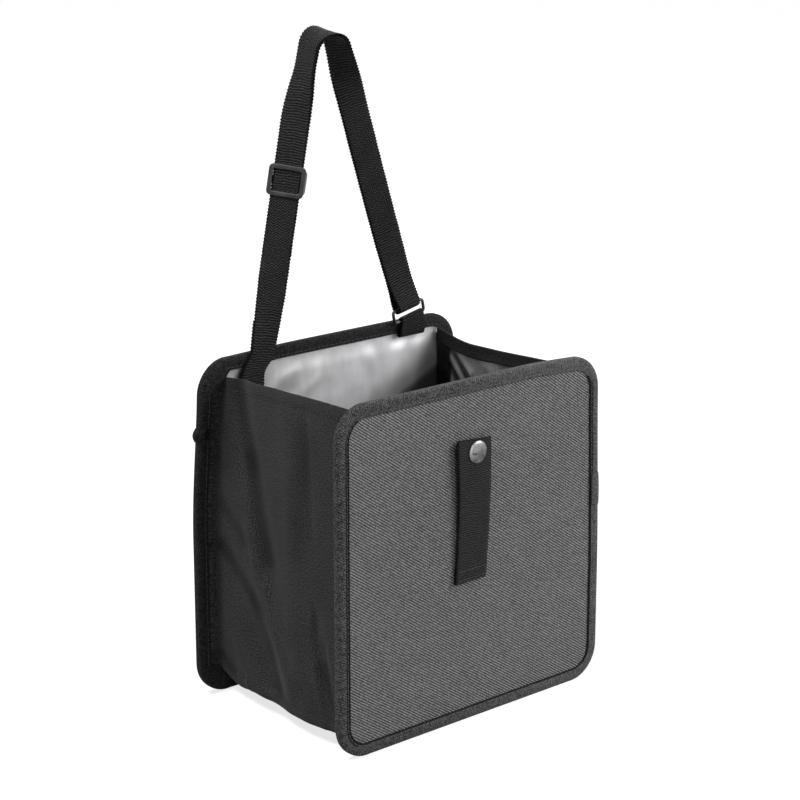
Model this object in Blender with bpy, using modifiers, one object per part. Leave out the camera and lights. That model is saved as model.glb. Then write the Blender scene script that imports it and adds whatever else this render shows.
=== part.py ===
"""Soft car trash can: two stiff bound panels, a cloth gusset round three sides, a webbing strap."""

import math

import bmesh
import bpy
import numpy as np
from mathutils import Matrix, Vector

# Overall sizes, in metres
PANEL_WIDTH = 0.220
PANEL_HEIGHT = 0.222
BIN_DEPTH = 0.145
CORNER_RADIUS = 0.022

# Drooping corners: inward and downward shift, then how far along and down it reaches
FRONT_DROOP = (0.0033, 0.0025, 0.070, 0.150)
BACK_DROOP = (0.0060, 0.0015, 0.090, 0.115)

# Running clearance between pieces that lie on each other
GAP = 0.0003

# Sheet thicknesses
CLOTH = 0.0005
BOARD = 0.0016
FILM = 0.0003
TAPE = 0.0005

# Binding tape
TAPE_COVER = 0.0085
TAPE_ROLL = 0.0013

# Gusset strip: where its walls leave the panels, measured in from the panels' edges
SEAM_INSET = 0.0105
BACK_SEAM_INSET = 0.0150
FLANGE_BEND = 0.0006

# Gusset's lower corners, and how far they bulge between the seams
BASE_CORNER = 0.0045
BACK_BASE_CORNER = 0.0100
CORNER_BULGE = 0.0020
BASE_BULGE = 0.0015
BOARD_CORNER = 0.004

# Hem and lining at the rims, rows down the walls and across the base
HEM = 0.009
HEM_DROPS = (0.0008, 0.0048)
LINING_TUCK = 0.0020
WALL_ROWS = 14
CORNER_STEPS = 5
BASE_SPANS = 10

# Drop of the gusset's two rims below the panels' top
LEFT_RIM_FRONT_DROP = 0.0030
LEFT_RIM_BACK_DROP = 0.0110
RIGHT_RIM_FRONT_DROP = 0.0125
RIGHT_RIM_BACK_DROP = 0.0090
RIGHT_RIM_SAG = 0.0045

# Strap webbing and its course above the panels' top edge
STRAP_WIDTH = 0.0190
STRAP = 0.0010
ANCHOR_INSET = 0.043
ANCHOR_DEPTH = 0.026
ANCHOR_FOLD_RISE = 0.019
LEFT_FOOT_SHIFT = 0.0091
LEAN_IN = 0.017
LEFT_LEAN = 0.2018
RIGHT_LEAN = 0.345
STRAP_RISE = 0.1985
ARCH_RADIUS = 0.0120
ARCH_FORWARD = 0.003
LEFT_TOP_TURN = -90.0
RIGHT_TOP_TURN = -72.0
RIGHT_LEG_TURN = -18.0
CREST_TIP = -13.0
RIGHT_LEG_BOW = 0.0018
SLIDER_RISE = 0.107
SLIDER_TRAVEL = 0.022
SLIDER_END_ROOM = 0.001
SLIDER_TURN = -52.0
TAIL_BELOW_SLIDER = 0.0135
PLIES_PART_OVER = 4

# Tri-glide slider
SLIDER_HEIGHT = 0.020
SLIDER_BAR = 0.0029
SLIDER_RAIL = 0.0022
SLIDER_PLATE = 0.0012
SLIDER_CORNER = 0.0030
SLIDER_SIDE_ROOM = 0.0004
SLIDER_WINDOW_CORNER = 0.0010
SLIDER_EDGE = 0.0003
CENTRE_BAR = 0.0040

# Ring and its tab
TAB_INSET = 0.0408
TAB_WIDTH = 0.0205
TAB_DROP = 0.0095
TAB_CLOSES_BY = 0.28
RING_WIRE = 0.0022
RING_WIDTH = 0.0280
RING_HEIGHT = 0.0086
RING_CORNER = 0.0022
RING_TILT = 12.0
RING_SHIFT = -0.0021
STRAP_SHIFT = -0.0015
RING_SEAT_RISE = 0.0032
RING_FORWARD = 0.0009
FOLD_ROOM = 0.0015
FOLD_DROP = 0.0010

# Front tab and snap
SNAP_TAB_X = -0.0058
SNAP_TAB_WIDTH = 0.0290
SNAP_TAB_END_WIDTH = 0.0262
SNAP_TAB_TOP = 0.1850
SNAP_TAB_BOTTOM = 0.0930
SNAP_TAB_TURN_UNDER = 0.009
SNAP_TAB_BOW = 0.0022
SNAP_X = -0.0033
SNAP_DROP = 0.0085
CAP_RADIUS = 0.0072
CAP_HEIGHT = 0.0019
SOCKET_RADIUS = 0.0056
SOCKET_HEIGHT = 0.0018
SOCKET_WALL = 0.0006
STUD_RADIUS = 0.0052
STUD_FLANGE = 0.0005
STUD_BOSS = 0.0022
STUD_BOSS_HEIGHT = 0.0012
POST_RADIUS = 0.0013
POST_HEAD_RADIUS = 0.0048
POST_HEAD = 0.0007
POST_HEAD_TAPER = 0.6
POST_HOLE_ROOM = 0.0004
SNAP_EDGE = 0.0004
STUD_NECK = 0.0003
CAP_ROUND = 0.92
CAP_FALL = 0.75
CAP_RIM = 0.45

# Depth of each layer of a panel, measured in from its outer face
FACE_DEPTH = TAPE + GAP
BOARD_DEPTH = FACE_DEPTH + CLOTH + GAP
LINING_DEPTH = BOARD_DEPTH + BOARD + GAP
FLANGE_DEPTH = LINING_DEPTH + FILM + GAP
INNER_TAPE_DEPTH = FLANGE_DEPTH + CLOTH + GAP
PANEL_THICKNESS = INNER_TAPE_DEPTH + TAPE
WALL_DEPTH = PANEL_THICKNESS + GAP

# Where the strap and the ring's tab stand along the rear panel
ANCHOR_X = ANCHOR_INSET - PANEL_WIDTH / 2
LEFT_FOOT_X = ANCHOR_X + LEFT_FOOT_SHIFT
TAB_X = PANEL_WIDTH / 2 - TAB_INSET

# Edge of the layers inside the rolled tape
LAYER_INSET = TAPE / 2 + TAPE_ROLL

FRONT, BACK = -1, 1
LEFT, RIGHT = -1, 1

COLOURS = {
    "twill": ((0.105, 0.107, 0.112), 0.85, 0.0),
    "tape": ((0.045, 0.046, 0.050), 0.80, 0.0),
    "gusset": ((0.022, 0.022, 0.025), 0.85, 0.0),
    "board": ((0.55, 0.50, 0.42), 0.90, 0.0),
    "film": ((0.62, 0.62, 0.64), 0.35, 0.6),
    "webbing": ((0.025, 0.025, 0.027), 0.80, 0.0),
    "plastic": ((0.030, 0.030, 0.032), 0.45, 0.0),
    "black_wire": ((0.020, 0.020, 0.022), 0.40, 0.4),
    "nickel": ((0.55, 0.55, 0.57), 0.25, 1.0),
}


def clear_scene():
    for obj in list(bpy.data.objects):
        bpy.data.objects.remove(obj, do_unlink=True)


def material(key):
    found = bpy.data.materials.get(key)
    if found:
        return found
    colour, roughness, metallic = COLOURS[key]
    made = bpy.data.materials.new(key)
    made.use_nodes = True
    shader = made.node_tree.nodes["Principled BSDF"]
    shader.inputs["Base Color"].default_value = (*colour, 1.0)
    shader.inputs["Roughness"].default_value = roughness
    shader.inputs["Metallic"].default_value = metallic
    made.diffuse_color = (*colour, 1.0)
    return made


def add_object(name, mesh, collection, key=None):
    obj = bpy.data.objects.new(name, mesh)
    collection.objects.link(obj)
    if key:
        mesh.materials.append(material(key))
    return obj


def panel_y(side, depth):
    """World Y of a plane this deep inside the front or back panel."""
    return side * (BIN_DEPTH / 2 - depth)


def mix(a, b, t):
    return a + (b - a) * t


def ease(t):
    t = min(max(t, 0.0), 1.0)
    return t * t * (3 - 2 * t)


def settled(point):
    """World point moved with the two top corners that the soft bin lets droop."""
    x, y, z = point
    span = BIN_DEPTH - 2 * PANEL_THICKNESS
    back = ease((y + BIN_DEPTH / 2 - PANEL_THICKNESS) / span)
    moved = Vector(point)
    for share, wall, shift_x, drop, reach_x, reach_z in (
        (1 - back, RIGHT, *FRONT_DROOP),
        (back, LEFT, *BACK_DROOP),
    ):
        across = ease((wall * x - PANEL_WIDTH / 2 + reach_x) / reach_x)
        weight = share * across * ease((z - PANEL_HEIGHT + reach_z) / reach_z)
        moved -= Vector((wall * shift_x, 0, drop)) * weight
    return moved


def rounded_outline(width, height, radius, segments=6, side_spans=1):
    """Points of a rounded rectangle centred on the origin, anticlockwise, corner by corner."""
    arcs = []
    for corner in range(4):
        sx = 1 if corner in (0, 3) else -1
        sy = 1 if corner in (0, 1) else -1
        centre = Vector((sx * (width / 2 - radius), sy * (height / 2 - radius)))
        angles = [math.radians(90 * (corner + step / segments)) for step in range(segments + 1)]
        arcs.append([centre + radius * Vector((math.cos(a), math.sin(a))) for a in angles])
    points = []
    for arc, following in zip(arcs, arcs[1:] + arcs[:1]):
        points += arc
        points += [
            arc[-1].lerp(following[0], step / side_spans) for step in range(1, side_spans)
        ]
    return points


def flat_curve(name, outline, thickness):
    """Filled 2D curve of an outline, with the given thickness."""
    curve = bpy.data.curves.new(name, "CURVE")
    curve.dimensions = "2D"
    curve.fill_mode = "BOTH"
    curve.extrude = thickness / 2
    spline = curve.splines.new("POLY")
    spline.points.add(len(outline) - 1)
    for point, place in zip(spline.points, outline):
        point.co = (place[0], place[1], 0, 1)
    spline.use_cyclic_u = True
    return curve


def meshed(curve, name):
    """Mesh of a curve, its caps welded to its sides."""
    holder = bpy.data.objects.new(name, curve)
    bpy.context.scene.collection.objects.link(holder)
    bpy.context.view_layer.update()
    evaluated = holder.evaluated_get(bpy.context.evaluated_depsgraph_get())
    mesh = bpy.data.meshes.new_from_object(evaluated)
    bpy.data.objects.remove(holder, do_unlink=True)
    shell = bmesh.new()
    shell.from_mesh(mesh)
    bmesh.ops.remove_doubles(shell, verts=shell.verts, dist=0.00001)
    bmesh.ops.dissolve_limit(shell, angle_limit=0.001, verts=shell.verts, edges=shell.edges)
    bmesh.ops.recalc_face_normals(shell, faces=shell.faces)
    shell.to_mesh(mesh)
    shell.free()
    mesh.name = name
    return mesh


def cut(obj, cutter, operation="DIFFERENCE"):
    boolean = obj.modifiers.new("Cut", "BOOLEAN")
    boolean.operation = operation
    boolean.object = cutter


def as_cutter(obj):
    obj.hide_render = True
    obj.display_type = "WIRE"
    return obj


def turned(name, profile, place, collection, key, steps=24):
    """Revolve of (radius, outward) points about an axis that runs out of the front panel."""
    mesh = bpy.data.meshes.new(name)
    points = [(radius, 0, out) for radius, out in profile]
    mesh.from_pydata(points, [(i, i + 1) for i in range(len(points) - 1)], [])
    obj = add_object(name, mesh, collection, key)
    screw = obj.modifiers.new("Turn", "SCREW")
    screw.axis = "Z"
    screw.angle = math.tau
    screw.steps = steps
    screw.render_steps = steps
    screw.use_merge_vertices = True
    screw.merge_threshold = 0.00001
    obj.location = place
    obj.rotation_euler = (math.radians(90), 0, 0)
    return obj


def sheet(name, rows, thickness, collection, key, closed=False, skip=None):
    """Cloth solid: a grid of points given row by row, made solid about its middle surface."""
    grid = bmesh.new()
    verts = [[grid.verts.new(point) for point in row] for row in rows]
    count = len(rows) if closed else len(rows) - 1
    for i in range(count):
        low, high = verts[i], verts[(i + 1) % len(rows)]
        for j in range(len(low) - 1):
            if skip and skip(i, j):
                continue
            grid.faces.new((low[j], low[j + 1], high[j + 1], high[j]))
    loose = [vert for vert in grid.verts if not vert.link_faces]
    bmesh.ops.delete(grid, geom=loose, context="VERTS")
    mesh = bpy.data.meshes.new(name)
    grid.to_mesh(mesh)
    grid.free()
    mesh.shade_smooth()
    obj = add_object(name, mesh, collection, key)
    solid = obj.modifiers.new("Thickness", "SOLIDIFY")
    solid.thickness = thickness
    solid.offset = 0
    solid.use_even_offset = True
    return obj


# Panels


def panel_outline(inset, y):
    """World points of a panel's outline, this far inside its edge."""
    outline = rounded_outline(
        PANEL_WIDTH - 2 * inset,
        PANEL_HEIGHT - 2 * inset,
        CORNER_RADIUS - inset,
        side_spans=7,
    )
    return [settled((x, y, z + PANEL_HEIGHT / 2)) for x, z in outline]


def panel_plate(name, side, depth, thickness, collection, key, hole=None):
    """One flat layer of a panel, cut to the shape inside the tape."""
    y = panel_y(side, depth + thickness / 2)
    outline = [(x, z - PANEL_HEIGHT / 2) for x, y, z in panel_outline(LAYER_INSET, y)]
    mesh = meshed(flat_curve(name, outline, thickness), name)
    obj = add_object(name, mesh, collection, key)
    obj.location = (0, y, PANEL_HEIGHT / 2)
    obj.rotation_euler = (math.radians(90), 0, 0)
    if hole:
        cut(obj, hole)
    return obj


def tape_section():
    """(inset, depth) points of the tape's middle surface, from one visible edge to the other."""
    near = TAPE / 2
    far = PANEL_THICKNESS - TAPE / 2
    points = [(TAPE_COVER, near)]
    for centre_depth, start in ((near + TAPE_ROLL, 90), (far - TAPE_ROLL, 180)):
        for step in range(3):
            angle = math.radians(start + 45 * step)
            inset = near + TAPE_ROLL + TAPE_ROLL * math.cos(angle)
            points.append((inset, centre_depth - TAPE_ROLL * math.sin(angle)))
    points.append((TAPE_COVER, far))
    return points


def binding(name, side, collection):
    """Tape folded over a panel's edge all the way round."""
    rings = [panel_outline(inset, panel_y(side, depth)) for inset, depth in tape_section()]
    return sheet(name, list(zip(*rings)), TAPE, collection, "tape", closed=True)


# Gusset


def rim_height(wall, t):
    """Height of a side wall's rim, t running from the front panel (0) to the back (1)."""
    if wall == LEFT:
        drop = mix(LEFT_RIM_FRONT_DROP, LEFT_RIM_BACK_DROP, t * t)
    else:
        drop = mix(RIGHT_RIM_FRONT_DROP, RIGHT_RIM_BACK_DROP, t)
        drop += RIGHT_RIM_SAG * math.sin(math.pi * t)
    return PANEL_HEIGHT - drop


def crease(t, height, start, end, width):
    """Bell-shaped weight of a point about a line from start to end."""
    along = Vector((end[0] - start[0], end[1] - start[1]))
    place = Vector((t - start[0], height - start[1]))
    share = min(max(place.dot(along) / along.length_squared, 0.0), 1.0)
    off = (place - along * share).length
    return math.exp(-((off / width) ** 2))


def hold(t):
    """0 at the two seams, 1 over most of the span between them."""
    return math.sin(math.pi * min(max(t, 0.0), 1.0)) ** 0.7


# Soft folds of each wall: depth outward, start and end as (t, share of the panel's height), width
FOLDS = {
    LEFT: (
        (-0.0034, (0.97, 0.52), (0.56, 0.07), 0.085),
        (-0.0028, (0.92, 0.93), (0.66, 0.40), 0.080),
        (0.0024, (0.84, 0.62), (0.78, 0.22), 0.080),
        (-0.0022, (0.10, 0.30), (0.17, 0.06), 0.070),
        (0.0014, (0.45, 0.85), (0.42, 0.45), 0.080),
        (0.0016, (0.40, 0.30), (0.30, 0.12), 0.080),
    ),
    RIGHT: (
        (0.0028, (0.95, 0.90), (0.60, 0.55), 0.070),
        (-0.0030, (0.88, 0.95), (0.42, 0.62), 0.070),
        (-0.0022, (0.90, 0.45), (0.60, 0.10), 0.090),
        (-0.0020, (0.45, 0.50), (0.40, 0.35), 0.200),
    ),
}


def slack(wall, t, z):
    """How far the cloth of a side wall stands out from flat, metres."""
    height = z / PANEL_HEIGHT
    out = sum(
        depth * crease(t, height, start, end, width) for depth, start, end, width in FOLDS[wall]
    )
    return out * hold(t)


def edge_distance(x, z):
    """Distance of a point in a panel's plane from the panel's edge, positive inside."""
    over_x = abs(x) - (PANEL_WIDTH / 2 - CORNER_RADIUS)
    over_z = abs(z - PANEL_HEIGHT / 2) - (PANEL_HEIGHT / 2 - CORNER_RADIUS)
    outside = math.hypot(max(over_x, 0.0), max(over_z, 0.0))
    return CORNER_RADIUS - outside - min(max(over_x, over_z), 0.0)


def run_out(x, z, across, down, inset):
    """Point reached from (x, z) along (across, -down) at this distance from the panel's edge."""
    near, far = 0.0, 2 * CORNER_RADIUS
    for _ in range(30):
        reach = (near + far) / 2
        if edge_distance(x + across * reach, z - down * reach) > inset:
            near = reach
        else:
            far = reach
    return x + across * near, z - down * near


SPAN_START = WALL_DEPTH / BIN_DEPTH
SPAN_END = 1 - SPAN_START
SPANS = 14
STATIONS = [j / SPANS for j in range(SPANS + 1)]


class StripRow:
    """One row across the gusset strip, from the front panel (t = 0) to the back (t = 1)."""

    def __init__(self, wall, drop=None, share=None, angle=None, x_share=None):
        self.wall = wall
        self.drop = drop
        self.share = share
        self.angle = angle
        self.x_share = x_share

    def frame(self, t):
        """Middle-surface point (x, z) at t and its outward direction as (across, down)."""
        drawn = ease(t) * t
        inset = mix(SEAM_INSET, BACK_SEAM_INSET, drawn)
        radius = mix(BASE_CORNER, BACK_BASE_CORNER, drawn)
        turn_x = PANEL_WIDTH / 2 - inset - radius
        turn_z = SEAM_INSET + radius
        if self.x_share is not None:
            near_turn = 1 - abs(self.x_share)
            sag = BASE_BULGE * hold(t) * math.exp(-((near_turn / 0.2) ** 2))
            return self.x_share * turn_x, SEAM_INSET - sag, 0.0, 1.0
        if self.angle is not None:
            angle = math.radians(self.angle)
            down = self.angle / 90
            bulge = mix(slack(self.wall, t, turn_z), BASE_BULGE * hold(t), ease(down))
            bulge += CORNER_BULGE * hold(t) * math.sin(math.pi * down)
            across = self.wall * math.cos(angle)
            x = self.wall * turn_x + across * (radius + bulge)
            return x, turn_z - math.sin(angle) * (radius + bulge), across, math.sin(angle)
        rim = rim_height(self.wall, t)
        z = rim - self.drop if self.share is None else mix(rim - HEM, turn_z, self.share)
        x = self.wall * (PANEL_WIDTH / 2 - inset + slack(self.wall, t, z))
        return x, z, float(self.wall), 0.0

    def place(self, t, offset):
        """World point at t, offset inward from the gusset's middle surface."""
        x, z, across, down = self.frame(t)
        y = mix(-BIN_DEPTH / 2, BIN_DEPTH / 2, mix(SPAN_START, SPAN_END, t))
        return settled((x - across * offset, y, z + down * offset))

    def flange(self, side):
        """The seam allowance on one panel, from its hidden edge to the turn into the wall."""
        x, z, across, down = self.frame(0.0 if side == FRONT else 1.0)
        y = panel_y(side, FLANGE_DEPTH + CLOTH / 2)
        hidden = run_out(x, z, across, down, LAYER_INSET)
        points = [settled((hidden[0], y, hidden[1]))]
        for back, rise in ((3 * FLANGE_BEND, 0.0), (FLANGE_BEND, 0.6 * FLANGE_BEND)):
            points.append(settled((x + across * back, y - side * rise, z - down * back)))
        return points

    def has_flange(self, side):
        """False where the wall passes over the tape of the panel's top edge."""
        x, z = self.frame(0.0 if side == FRONT else 1.0)[:2]
        return edge_distance(x, z) > TAPE_COVER + FLANGE_BEND


def strip_rows():
    """Rows of the strip from the left rim, under the bin, to the right rim."""
    sides = []
    for wall in (LEFT, RIGHT):
        side = [StripRow(wall, drop=drop) for drop in HEM_DROPS]
        side += [StripRow(wall, share=k / WALL_ROWS) for k in range(WALL_ROWS + 1)]
        side += [
            StripRow(wall, angle=90 * k / CORNER_STEPS) for k in range(1, CORNER_STEPS)
        ]
        sides.append(side)
    base = [StripRow(LEFT, x_share=2 * k / BASE_SPANS - 1) for k in range(BASE_SPANS + 1)]
    return sides[0] + base + sides[1][::-1]


def hem_rows(wall, offset):
    """The turned-in hem: over the rim in a half round, then down the inside."""
    top = StripRow(wall, drop=HEM_DROPS[0])
    roll = offset / 2
    over = []
    for angle in (45, 90, 135):
        turn = math.radians(angle)
        row = [top.place(t, roll * (1 - math.cos(turn))) for t in STATIONS]
        over.append([point + Vector((0, 0, roll * math.sin(turn))) for point in row])
    inside = [
        [StripRow(wall, drop=drop).place(t, offset) for t in STATIONS]
        for drop in (*HEM_DROPS, HEM)
    ]
    return over + inside


def gusset(collection):
    """Outer cloth of the strip, its edges turned out along the panels, its ends hemmed inward."""
    hem_offset = CLOTH + FILM + 2 * GAP
    blank = [Vector((0, 0, 0))] * 3
    rows, held = [], []
    for row in hem_rows(LEFT, hem_offset)[::-1]:
        rows.append(blank + row + blank)
        held.append((False, False))
    for row in strip_rows():
        middle = [row.place(t, 0.0) for t in STATIONS]
        rows.append(row.flange(FRONT) + middle + row.flange(BACK)[::-1])
        held.append((row.has_flange(FRONT), row.has_flange(BACK)))
    for row in hem_rows(RIGHT, hem_offset):
        rows.append(blank + row + blank)
        held.append((False, False))
    last = len(STATIONS) + 2

    def skip(i, j):
        if j < 3:
            return not (held[i][0] and held[i + 1][0])
        if j >= last:
            return not (held[i][1] and held[i + 1][1])
        return False

    return sheet("gusset", rows, CLOTH, collection, "gusset", skip=skip)


def gusset_lining(collection):
    """Film inside the strip: under the hems, down the walls and over the base board."""
    wall_offset = CLOTH / 2 + GAP + FILM / 2
    base_offset = CLOTH / 2 + GAP + BOARD + GAP + FILM / 2
    rows = []
    for row in strip_rows():
        if row.drop == HEM_DROPS[0]:
            row.drop = LINING_TUCK
        down = 0.0 if row.angle is None else row.angle / 90
        points = []
        for t in STATIONS:
            point = row.place(t, mix(wall_offset, base_offset + BASE_BULGE * hold(t), down))
            if row.x_share is not None:
                point.z = SEAM_INSET + base_offset
            points.append(point)
        rows.append(points)
    return sheet("gusset_lining", rows, FILM, collection, "film")


def base_board(collection):
    """Stiff board on the cloth of the base, under the film."""
    width = PANEL_WIDTH - 2 * (BACK_SEAM_INSET + BACK_BASE_CORNER + GAP)
    depth = BIN_DEPTH - 2 * (WALL_DEPTH + GAP)
    outline = rounded_outline(width, depth, BOARD_CORNER, segments=3)
    mesh = meshed(flat_curve("base_board", outline, BOARD), "base_board")
    obj = add_object("base_board", mesh, collection, "board")
    obj.location = (0, 0, SEAM_INSET + CLOTH / 2 + GAP + BOARD / 2)
    return obj


# Strap


class StrapPoint:
    """A station along the strap: its centre, width direction and outward normal."""

    def __init__(self, centre, width, along):
        self.centre = centre
        self.width = width.normalized()
        self.normal = self.width.cross(along).normalized()

    def ply(self, offset, width):
        middle = self.centre + self.normal * offset
        return [middle - self.width * width / 2, middle + self.width * width / 2]


STRAP_Y = BIN_DEPTH / 2 - PANEL_THICKNESS - GAP - STRAP - GAP / 2
PLY_OFFSET = (STRAP + GAP) / 2


def turn_direction(degrees, tip=0.0):
    """Width direction turned about the vertical from +X, its far edge tipped up or down."""
    a, b = math.radians(degrees), math.radians(tip)
    return Vector((math.cos(a) * math.cos(b), math.sin(a) * math.cos(b), math.sin(b)))


def square_to(direction, along):
    return (direction - along * direction.dot(along)).normalized()


def left_line(rise):
    return Vector((LEFT_FOOT_X + LEFT_LEAN * rise, STRAP_Y, PANEL_HEIGHT + rise))


LEFT_ALONG = Vector((LEFT_LEAN, 0, 1)).normalized()


def arch():
    """Centre of the top bend and the rises at which the two legs meet it."""
    lean_left = math.atan(LEFT_LEAN)
    lean_right = math.atan(RIGHT_LEAN)
    centre_z = STRAP_RISE - ARCH_RADIUS
    start = Vector((-math.cos(lean_left), math.sin(lean_left)))
    left_x = LEFT_FOOT_X + LEFT_LEAN * (centre_z + ARCH_RADIUS * start.y)
    centre = Vector((left_x - ARCH_RADIUS * start.x, centre_z))
    end = Vector((math.cos(lean_right), math.sin(lean_right)))
    return centre, lean_left, lean_right, centre + ARCH_RADIUS * start, centre + ARCH_RADIUS * end


def ring_pose():
    """Matrix of the ring: origin on its lower bar, X along the bar, Z towards the upper bar."""
    seat = Vector((TAB_X + RING_SHIFT, STRAP_Y - RING_FORWARD, PANEL_HEIGHT + RING_SEAT_RISE))
    return Matrix.Translation(seat) @ Matrix.Rotation(math.radians(-RING_TILT), 4, "Y")


def left_leg():
    """Stations from the sewn foot inside the back panel up to the top bend."""
    stations = []
    for k in range(10):
        rise = ANCHOR_DEPTH * (k / 10 - 1)
        lean_in = ease((rise + LEAN_IN) / LEAN_IN)
        x = mix(ANCHOR_X, LEFT_FOOT_X + LEFT_LEAN * rise, lean_in)
        centre = Vector((x, STRAP_Y, PANEL_HEIGHT + rise))
        tip = turn_direction(0, -math.degrees(math.atan(LEFT_LEAN)) * lean_in)
        stations.append(StrapPoint(centre, tip, Vector((0, 0, 1))))
    top_rise = arch()[3].y
    first, last = slider_span()
    for k in range(31):
        rise = mix(0.0, top_rise, k / 30)
        if rise <= first:
            turn = SLIDER_TURN * mix(rise / first, ease(rise / first), rise / first)
        elif rise <= last:
            turn = SLIDER_TURN
        else:
            turn = mix(SLIDER_TURN, LEFT_TOP_TURN, ease(1.2 * (rise - last) / (top_rise - last)))
        centre = left_line(rise)
        centre.y += left_forward(rise)
        stations.append(
            StrapPoint(centre, square_to(turn_direction(turn), LEFT_ALONG), LEFT_ALONG)
        )
    return stations


def slider_span():
    """Rises between which the left leg stays straight and flat for the slider's travel."""
    reach = SLIDER_HEIGHT / 2 + SLIDER_TRAVEL + SLIDER_END_ROOM
    return SLIDER_RISE - reach, SLIDER_RISE + reach


def left_forward(rise):
    """Forward lean of the left leg: none until it is past the slider's travel."""
    last = slider_span()[1]
    return -ARCH_FORWARD * ease((rise - last) / (STRAP_RISE - last))


def top_bend():
    centre, lean_left, lean_right, start, end = arch()
    stations = []
    first = math.pi - lean_left
    last = lean_right
    for k in range(1, 12):
        t = k / 12
        angle = mix(first, last, t)
        x = centre.x + ARCH_RADIUS * math.cos(angle)
        z = PANEL_HEIGHT + centre.y + ARCH_RADIUS * math.sin(angle)
        along = Vector((math.sin(angle), 0, -math.cos(angle)))
        turn = mix(LEFT_TOP_TURN, RIGHT_TOP_TURN, t)
        width = square_to(turn_direction(turn, CREST_TIP * math.sin(math.pi * t)), along)
        stations.append(StrapPoint(Vector((x, STRAP_Y - ARCH_FORWARD, z)), width, along))
    return stations


def right_leg():
    """Stations from the top bend down to just above the ring's upper bar."""
    end = arch()[4]
    start = Vector((end.x, STRAP_Y - ARCH_FORWARD, PANEL_HEIGHT + end.y))
    pose = ring_pose()
    foot = pose @ Vector((STRAP_SHIFT, 0, RING_HEIGHT + FOLD_DROP))
    down = -(pose.to_3x3() @ Vector((0, 0, 1)))
    bar = pose.to_3x3() @ Vector((1, 0, 0))
    lean = Vector((RIGHT_LEAN, 0, -1)).normalized()
    span = (foot - start).length
    stations = []
    for k in range(31):
        t = k / 30
        a = start + lean * span / 3
        b = foot - down * span / 30
        centre = (
            start * (1 - t) ** 3 + a * 3 * t * (1 - t) ** 2 + b * 3 * t * t * (1 - t) + foot * t**3
        )
        centre.x -= RIGHT_LEG_BOW * math.sin(math.pi * t)
        slope = (a - start) * (1 - t) ** 2 + (b - a) * 2 * t * (1 - t) + (foot - b) * t * t
        along = slope.normalized()
        turn = mix(RIGHT_TOP_TURN, RIGHT_LEG_TURN, ease(t / 0.22))
        turn -= RIGHT_LEG_TURN * ease((t - 0.5) / 0.5)
        width = square_to(turn_direction(turn), along)
        width = width.lerp(bar, ease((t - 0.8) / 0.2)).normalized()
        stations.append(StrapPoint(centre, width, along))
    return stations, foot, down, bar


def strap(collection):
    """The whole webbing: folded end at the foot, outer ply, fold in the ring, inner ply, tail."""
    left, bend = left_leg(), top_bend()
    right, foot, down, bar = right_leg()
    course = left + bend + right
    fold_top = PANEL_HEIGHT + ANCHOR_FOLD_RISE
    tail_end = PANEL_HEIGHT + slider_span()[0] - TAIL_BELOW_SLIDER
    rows = []
    for station in left[::-1]:
        if station.centre.z <= fold_top:
            rows.append(station.ply(-PLY_OFFSET, STRAP_WIDTH))
    low = left[0]
    for angle in (45, 90, 135):
        turn = math.radians(angle)
        middle = low.centre - low.normal * PLY_OFFSET * math.cos(turn)
        middle = middle - Vector((0, 0, PLY_OFFSET * math.sin(turn)))
        rows.append([middle - low.width * STRAP_WIDTH / 2, middle + low.width * STRAP_WIDTH / 2])
    spread = RING_WIRE / 2 + FOLD_ROOM + STRAP / 2

    def opened(index):
        """Half distance of the plies: they part just above the ring."""
        left_over = len(course) - 1 - index
        return mix(spread, PLY_OFFSET, ease(left_over / PLIES_PART_OVER))

    for index, station in enumerate(course):
        rows.append(station.ply(opened(index), STRAP_WIDTH))
    normal = bar.cross(down).normalized()
    for angle in range(15, 180, 15):
        turn = math.radians(angle)
        middle = foot + normal * spread * math.cos(turn) + down * spread * math.sin(turn)
        rows.append([middle - bar * STRAP_WIDTH / 2, middle + bar * STRAP_WIDTH / 2])
    for index in range(len(course) - 1, -1, -1):
        station = course[index]
        if index < len(left) and station.centre.z < tail_end:
            break
        rows.append(station.ply(-opened(index), STRAP_WIDTH))
    return sheet("strap", rows, STRAP, collection, "webbing")


def slider_pose():
    """Matrix of the slider: X across the strap, Y to its inner side, Z up along the leg."""
    centre = left_line(SLIDER_RISE)
    width = square_to(turn_direction(SLIDER_TURN), LEFT_ALONG)
    inner = LEFT_ALONG.cross(width).normalized()
    turn = Matrix((width, inner, LEFT_ALONG)).transposed().to_4x4()
    return Matrix.Translation(centre) @ turn


def box(name, size, centre, collection, key=None):
    solid = bmesh.new()
    bmesh.ops.create_cube(solid, size=1.0)
    bmesh.ops.scale(solid, vec=size, verts=solid.verts)
    bmesh.ops.translate(solid, vec=centre, verts=solid.verts)
    mesh = bpy.data.meshes.new(name)
    solid.to_mesh(mesh)
    solid.free()
    return add_object(name, mesh, collection, key)


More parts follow.
